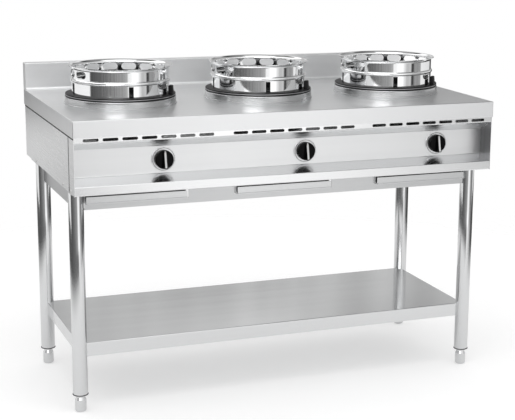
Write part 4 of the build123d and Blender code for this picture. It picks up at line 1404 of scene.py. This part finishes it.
# ------------------------------------------------------------------------- studio
@dataclass
class Studio:
    """Camera, pale floor, grey cards round the range, and soft lamps.

    Attributes:
        bands: Height that a band of cards starts at, and its cards: compass angle in
            degrees from the front towards the right, and the level there. The legs show
            the lowest band, the panels the next, the rings the third, the worktop the
            fourth and the shelf the last.
        blend: Half the height over which one band changes to the next.
        ceiling: Share of the way out from the middle, and the level overhead there.
        lamps: Name, place, width and height, and watts of each lamp.
    """

    place: Place = (-1.3302, -3.66681, 1.33857)
    yaw: float = 0.3898
    pitch: float = 0.2206
    roll: float = 0.0134
    lens: float = 95.6156
    shift_x: float = -0.10194
    floor_radius: float = 2.5
    floor_solid: float = 1.2
    card_radius: float = 5.0
    card_low: float = -1.6
    card_high: float = 3.2
    folds: float = 3.0
    bands: Tuple[Tuple[float, Tuple[Point, ...]], ...] = (
        (-9.0, (
            (-180.0, 0.10), (-172.0, 0.12), (-168.0, 0.86), (-158.0, 0.78), (-153.0, 0.12),
            (-90.0, 0.10), (-40.0, 0.17),
            (2.0, 0.19), (6.0, 0.80), (12.0, 1.02), (20.0, 1.02), (27.0, 0.92), (33.0, 0.74),
            (40.0, 0.70), (48.0, 0.68), (55.0, 0.24), (75.0, 0.14), (90.0, 0.05),
            (150.0, 0.05), (180.0, 0.10))),
        (-0.23, (
            (-180.0, 0.80), (-166.0, 0.90), (-158.0, 0.78), (-150.0, 0.60), (-146.0, 0.15),
            (-90.0, 0.10), (-40.0, 0.17),
            (-3.0, 0.50), (2.0, 1.18), (10.0, 1.46), (16.0, 1.52), (22.0, 1.32), (27.0, 1.00),
            (31.0, 0.66), (36.0, 0.48), (44.0, 0.46), (55.0, 0.24), (75.0, 0.14),
            (90.0, 0.05), (140.0, 0.05), (150.0, 0.40), (180.0, 0.80))),
        (0.02, (
            (-180.0, 0.30), (-168.0, 0.12), (-158.0, 0.08), (-153.0, 0.45), (-148.0, 0.95),
            (-100.0, 1.0), (-89.5, 1.0), (-87.5, 0.08), (-78.0, 0.10), (-55.0, 0.16),
            (-30.0, 0.28), (-8.0, 0.38), (-3.0, 0.46), (-1.0, 1.0), (5.0, 1.0),
            (15.0, 1.34), (22.0, 1.18), (28.0, 0.82), (34.0, 0.52), (44.0, 0.66),
            (46.0, 0.06), (51.5, 0.06), (53.5, 0.30), (73.0, 0.34), (76.0, 0.92),
            (116.0, 0.80), (122.0, 0.10), (140.0, 0.08), (152.0, 0.25), (165.0, 0.32))),
        (1.0, (
            (-180.0, 0.62), (-150.0, 0.62), (-60.0, 0.50), (0.0, 1.00), (20.0, 1.10),
            (60.0, 0.70), (120.0, 0.58), (146.0, 0.58), (153.0, 0.62), (159.0, 0.56),
            (166.0, 0.52), (174.0, 0.58))),
        (1.75, (
            (-180.0, 0.56), (-150.0, 0.60), (-60.0, 0.50), (0.0, 1.00), (20.0, 1.10),
            (60.0, 0.60), (120.0, 0.34), (140.0, 0.26), (148.0, 0.32), (153.0, 0.56),
            (159.0, 0.80), (166.0, 0.68), (174.0, 0.54))))
    blend: float = 0.03
    ceiling: Tuple[Point, ...] = (
        (0.0, 0.30), (0.30, 0.34), (0.38, 0.08), (0.50, 0.08), (0.60, 1.00), (1.0, 1.12))
    lamps: Tuple[Tuple[str, Place, Point, float], ...] = (
        ("top lamp", (-0.4, -0.9, 3.0), (2.6, 1.6), 18.0),
        ("sheen lamp", (-2.2, -3.7, 2.7), (3.2, 1.8), 36.0))

    def build(self) -> None:
        """Makes the whole studio."""
        self.make_camera()
        self.make_world()
        self.make_floor()
        self.make_cards()
        self.make_ceiling()
        self.make_lamps()
        bpy.context.scene.view_settings.view_transform = "Standard"

    def make_camera(self) -> None:
        """Camera at the photograph's angle."""
        forward = Vector((math.sin(self.yaw) * math.cos(self.pitch),
                          math.cos(self.yaw) * math.cos(self.pitch), -math.sin(self.pitch)))
        right = Vector((math.cos(self.yaw), -math.sin(self.yaw), 0.0))
        up = right.cross(forward)
        level = math.cos(self.roll) * right + math.sin(self.roll) * up
        upright = -math.sin(self.roll) * right + math.cos(self.roll) * up
        turn = Matrix((level, upright, -forward)).transposed().to_4x4()
        data = bpy.data.cameras.new("camera")
        data.sensor_width = 36.0
        data.lens = self.lens
        data.shift_x = self.shift_x
        data.clip_end = 100.0
        camera = bpy.data.objects.new("camera", data)
        camera.matrix_world = Matrix.Translation(self.place) @ turn
        bpy.context.scene.collection.objects.link(camera)
        bpy.context.scene.camera = camera

    def make_world(self) -> None:
        """Plain white surroundings."""
        world = bpy.data.worlds.new("studio")
        world.use_nodes = True
        graph = Graph(world.node_tree)
        light = graph.node("ShaderNodeBackground", {"Color": rgba(grey(1.0)), "Strength": 1.0})
        graph.node("ShaderNodeOutputWorld", {"Surface": light})
        bpy.context.scene.world = world

    def make_floor(self) -> None:
        """White floor that keeps the shadow and fades into the white surroundings."""
        floor, graph = self.sheet("floor", [(0.0, 0.0), (1.0, 0.0), (self.floor_radius, 0.0)])
        away = graph.vector("LENGTH", graph.place(), output="Value")
        fade = graph.step(away, self.floor_solid, self.floor_radius - 0.1)
        seen, mirrored = (graph.node("ShaderNodeLightPath", output="Is %s Ray" % kind)
                          for kind in ("Camera", "Glossy"))
        paint = graph.node("ShaderNodeBsdfDiffuse", {"Color": rgba(grey(0.66))})
        lift = graph.node("ShaderNodeEmission", {"Strength": 0.42 * seen + 0.26 * mirrored})
        both = graph.node("ShaderNodeAddShader", [paint, lift])
        clear = graph.node("ShaderNodeBsdfTransparent")
        blend = graph.node("ShaderNodeMixShader", [fade, both, clear])
        graph.node("ShaderNodeOutputMaterial", {"Surface": blend})

    def make_cards(self) -> None:
        """Upright surround that only reflections and soft light see."""
        wall, graph = self.sheet("cards", [(self.card_radius, self.card_low),
                                           (self.card_radius, self.card_high)], 192)
        x, y, z = graph.split(graph.place())
        angle = x.bearing(-1.0 * y)
        share = angle / (2 * math.pi) + 0.5
        tones = [graph.ramp(share, [(0.5 + degrees / 360.0, grey(level))
                                    for degrees, level in cards]) for _, cards in self.bands]
        tone = tones[0]
        for (start, _), above in zip(self.bands[1:], tones[1:]):
            tone = graph.mix(graph.step(z, start - self.blend, start + self.blend), tone, above)
        level = graph.split(tone)[0]
        fold = graph.noise(graph.join(angle * 22.0, 0.0, 0.0), 1.0, 3.0, 0.7)
        shade = (fold - 0.5) * self.folds * level * (1.0 - level).least(0.0)
        self.light(graph, graph.vector("ADD", tone, graph.join(shade, shade, shade)))
        wall.visible_camera = wall.visible_shadow = False

    def make_ceiling(self) -> None:
        """Grey overhead sheet that only reflections see."""
        sheet, graph = self.sheet("ceiling", [(0.0, self.card_high),
                                              (self.card_radius, self.card_high)])
        x, y, _ = graph.split(graph.place())
        away = graph.vector("LENGTH", graph.join(x, y, 0.0), output="Value")
        tone = graph.ramp(away / self.card_radius, [(share, grey(level))
                                                    for share, level in self.ceiling])
        self.light(graph, graph.scaled(tone, (1.2 - 0.25 * x).least(0.3)))
        sheet.visible_camera = sheet.visible_diffuse = sheet.visible_shadow = False

    @staticmethod
    def sheet(name: str, line: Sequence[Point],
              segments: int = 96) -> Tuple[bpy.types.Object, Graph]:
        """Turns a line into a sheet of the studio.

        Args:
            name: Name of the sheet.
            line: Its points as (radius, height).
            segments: Steps round the circle.

        Returns:
            The sheet, and an empty graph for its material.
        """
        sheet = Form(name).turn(line, segments=segments, closed=False).object()
        material, graph = new_material("studio " + name)
        sheet.data.materials.append(material)
        return sheet, graph

    @staticmethod
    def light(graph: Graph, tone: Signal) -> None:
        """Ends a sheet's graph in plain light of one tone."""
        light = graph.node("ShaderNodeEmission", {"Color": tone, "Strength": 1.0})
        graph.node("ShaderNodeOutputMaterial", {"Surface": light})

    def make_lamps(self) -> None:
        """Large soft lamps above that point at the range; the last one adds only sheen."""
        for name, place, size, power in self.lamps:
            data = bpy.data.lights.new(name, "AREA")
            data.shape = "RECTANGLE"
            data.size, data.size_y = size
            data.energy = power
            lamp = bpy.data.objects.new(name, data)
            aim = (Vector((0.0, 0.0, 0.6)) - Vector(place)).to_track_quat("-Z", "Y")
            lamp.matrix_world = Matrix.Translation(place) @ aim.to_matrix().to_4x4()
            bpy.context.scene.collection.objects.link(lamp)
        lamp.visible_diffuse = False


def main() -> None:
    logging.basicConfig(level=logging.INFO, format="%(message)s")
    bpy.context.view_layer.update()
    Studio().build()
    Cabinet().build()
    Seams().build()
    Fasteners().build()
    for bay, turned in ((Bay.LEFT, 0.0), (Bay.CENTRE, -6.0), (Bay.RIGHT, -11.0)):
        CookingPlace(bay, turned).build()
        Burner(bay).build()
        Control(bay).build()
    for corner in ("front_left", "front_right", "back_left", "back_right"):
        Leg(corner).build()


if __name__ == "__main__":
    main()
